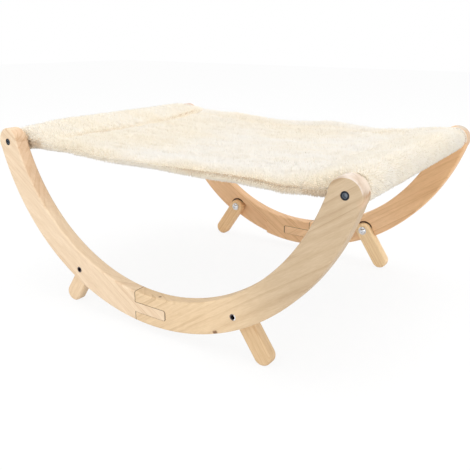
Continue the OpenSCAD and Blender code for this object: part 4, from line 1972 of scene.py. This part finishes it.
    def sleeve_places(self, side: Side, make: SleeveMake) -> SleevePlaces:
        """Spreads a sleeve's points round its rod.

        Args:
            side: Which rod.
            make: What is special to the sleeve.

        Returns:
            The points' places.
        """
        rows, full, open_share = self.edge_rows(self.sleeve_rows)
        from_front, from_rear = self.depth + rows, self.depth - rows
        fullest = smooth_step(0.0, self.sleeve_taper, from_front)
        top_t = make.near_t + (self.sleeve_top_t - make.near_t) * fullest
        top_t = top_t - make.far_loss * smooth_step(0.07, 0.0, from_rear)
        outline = np.stack([self.sleeve_outline(t) for t in top_t])
        gathered = self.gathered_end(outline)
        # A round end keeps most of its shape over the rod, and is drawn shut only towards the seam
        round_end = ((rows > 0.0) | make.round_near)[:, None] * smooth_step(0.0, 0.2, full[:, None])
        kept = 0.85 * smooth_step(0.022, -0.004, outline[..., 0]) * round_end
        outline = gathered + (outline - gathered) * np.maximum(full[:, None], kept)[..., None]
        toward = outline[..., 0]
        above = outline[..., 1] - self.dip(side, rows)[:, None] * smooth_step(0.008, self.reach, toward)
        from_seam = self.reach - toward
        y, from_front, from_rear = (
            np.broadcast_to(values[:, None], toward.shape) for values in (rows, from_front, from_rear)
        )
        return SleevePlaces(
            y=y,
            toward=toward,
            above=above,
            full=full[:, None],
            open_share=open_share[:, None],
            fullest=fullest[:, None],
            from_seam=from_seam,
            from_edge=self.depth - np.abs(y),
            from_front=from_front,
            from_rear=from_rear,
            under_rod=smooth_step(-0.004, -0.010, above) * smooth_step(0.02, 0.03, from_seam),
        )

    def sleeve_swell(self, side: Side, make: SleeveMake, at: SleevePlaces) -> np.ndarray:
        """How far a sleeve's cloth stands off its plain section: uneven, puckered by the seam, and hemmed.

        Args:
            side: Which rod.
            make: What is special to the sleeve.
            at: Its points' places.

        Returns:
            Heights, rows by columns.
        """
        uneven = ripple((at.y / 0.05, at.above / 0.02), self.sleeve_seed + side.value)
        swell = np.maximum(0.0005 * uneven * at.fullest, 0.0) * (1.0 - at.under_rod)
        waver = ripple((at.y / 0.04, at.y * 0), self.pucker_seed + side.value)
        pucker = 0.0007 * np.sin(at.y / 0.017 * math.tau + 1.3 * waver) * bell(at.from_seam, 0.010, 0.009)
        groove = make.drawn_in * bell(at.from_seam, 0.0, 0.0045)
        swell = swell + smooth_step(0.012, 0.035, at.from_edge) * (pucker - groove)
        upper = smooth_step(-0.004, 0.006, at.above) * at.full * smooth_step(-0.004, 0.018, at.toward)
        return swell + self.hem_rise * bell(at.from_rear, self.hem_at, self.hem_w) * upper

    def sleeve_coat(self, side: Side, make: SleeveMake, at: SleevePlaces) -> dict[str, np.ndarray]:
        """A sleeve's pile and shade.

        Args:
            side: Which rod.
            make: What is special to the sleeve.
            at: Its points' places.

        Returns:
            Pile length and shade, as shares, rows by columns.
        """
        grown = self.shorn(at.from_seam, at.from_edge, side is Side.LEFT) * (1.0 - 0.25 * at.under_rod)
        grown = grown * (make.tucked + (1.0 - make.tucked) * at.open_share)
        # Painted shade at the near end by the arm, and in the fold of the near end
        end = make.end_shade * smooth_step(0.018, 0.0, at.from_front)
        end = end * smooth_step(0.016, -0.002, at.above) * smooth_step(0.005, 0.022, at.from_seam)
        fold = make.fold_shade * np.clip(1.0 - at.full / 0.7, 0.0, 1.0) * (at.y < 0.0)
        # Painted shadow line beside the seam, on the upper half of the section
        line = 0.0042 + 0.0022 * smooth_step(-0.3, 0.8, at.y / self.depth)
        count = at.toward.shape[1]
        seam = make.seam_shade * bell(at.from_seam, line, 0.0019) * (np.arange(count) < count // 2)
        seam = seam * smooth_step(0.01, 0.06, at.from_front) * smooth_step(0.008, 0.03, at.from_rear)
        # A warmer tone all over, and painted shade on the lower half
        all_over = make.shade + make.lower_shade * smooth_step(0.004, -0.010, at.above)
        return {"pile": grown, "shade": np.maximum.reduce([end, fold, seam, all_over])}

    def make_sleeve(self, side: Side) -> None:
        """Makes the sleeve round one rod, with its row of stitches.

        Args:
            side: Which rod.
        """
        make = self.left_make if side is Side.LEFT else self.right_make
        at = self.sleeve_places(side, make)
        section = np.stack([at.toward, at.above], axis=-1)
        tangent = np.gradient(section, axis=1)
        normal = np.stack([-tangent[..., 1], tangent[..., 0]], axis=-1)
        normal /= np.linalg.norm(normal, axis=-1, keepdims=True)
        # The middle of a section lies past the rod, where outwards is away from the sling
        if normal[len(normal) // 2, normal.shape[1] // 2, 0] > 0:
            normal = -normal
        skin = section + normal * self.sleeve_swell(side, make, at)[..., None]
        wall = self.sleeve_end_wall + (self.sleeve_wall - self.sleeve_end_wall) * at.full
        outer, inner = (
            np.stack([side.value * (self.rod_x - grid[..., 0]), at.y, self.rod_z + grid[..., 1]], axis=-1)
            for grid in (skin, skin - normal * wall[..., None])
        )
        name = f"{side.word}_sleeve"
        piece = add_shell(f"{name}_plush", outer, inner)
        coat = self.sleeve_coat(side, make, at)
        stitches = self.make_stitches(side)
        nap = (0.45 * side.value, -0.35, -0.55)
        self.finish_cloth(piece, name, coat, nap, [stitches])

    def make_stitches(self, side: Side) -> bpy.types.Object:
        """Sews a row of stitches along the top of one seam.

        Args:
            side: Which seam.

        Returns:
            The stitches.
        """
        y = np.linspace(-self.half + self.stitch_margin, self.half - self.stitch_margin, 60)
        z = self.seam_z + self.seam_half_t - self.stitch_sink - self.dip(side, y)
        path = np.stack([np.full_like(y, side.value * self.seam_x), y, z], axis=1)
        mesh = bpy.data.meshes.new("seam_path")
        mesh.from_pydata(path.tolist(), [(i, i + 1) for i in range(len(path) - 1)], [])
        return self.stitch_tool.run(
            add_object("seam_path", mesh), f"{side.word}_seam_stitches", Pitch=self.stitch_pitch,
            Length=self.stitch_len, Thickness=self.stitch_t, Slant=math.radians(self.stitch_slant_deg),
            Material=self.thread,
        )


def main() -> None:
    """Builds the hammock's pieces in order."""
    logging.basicConfig(level=logging.INFO, format="%(message)s")
    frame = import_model()
    nodes = frame["nodes"]
    Studio().build()
    Woodwork().dress(nodes)
    FingerJoint().build()
    Hardware().dress(nodes)
    Sling().build()


if __name__ == "__main__":
    main()
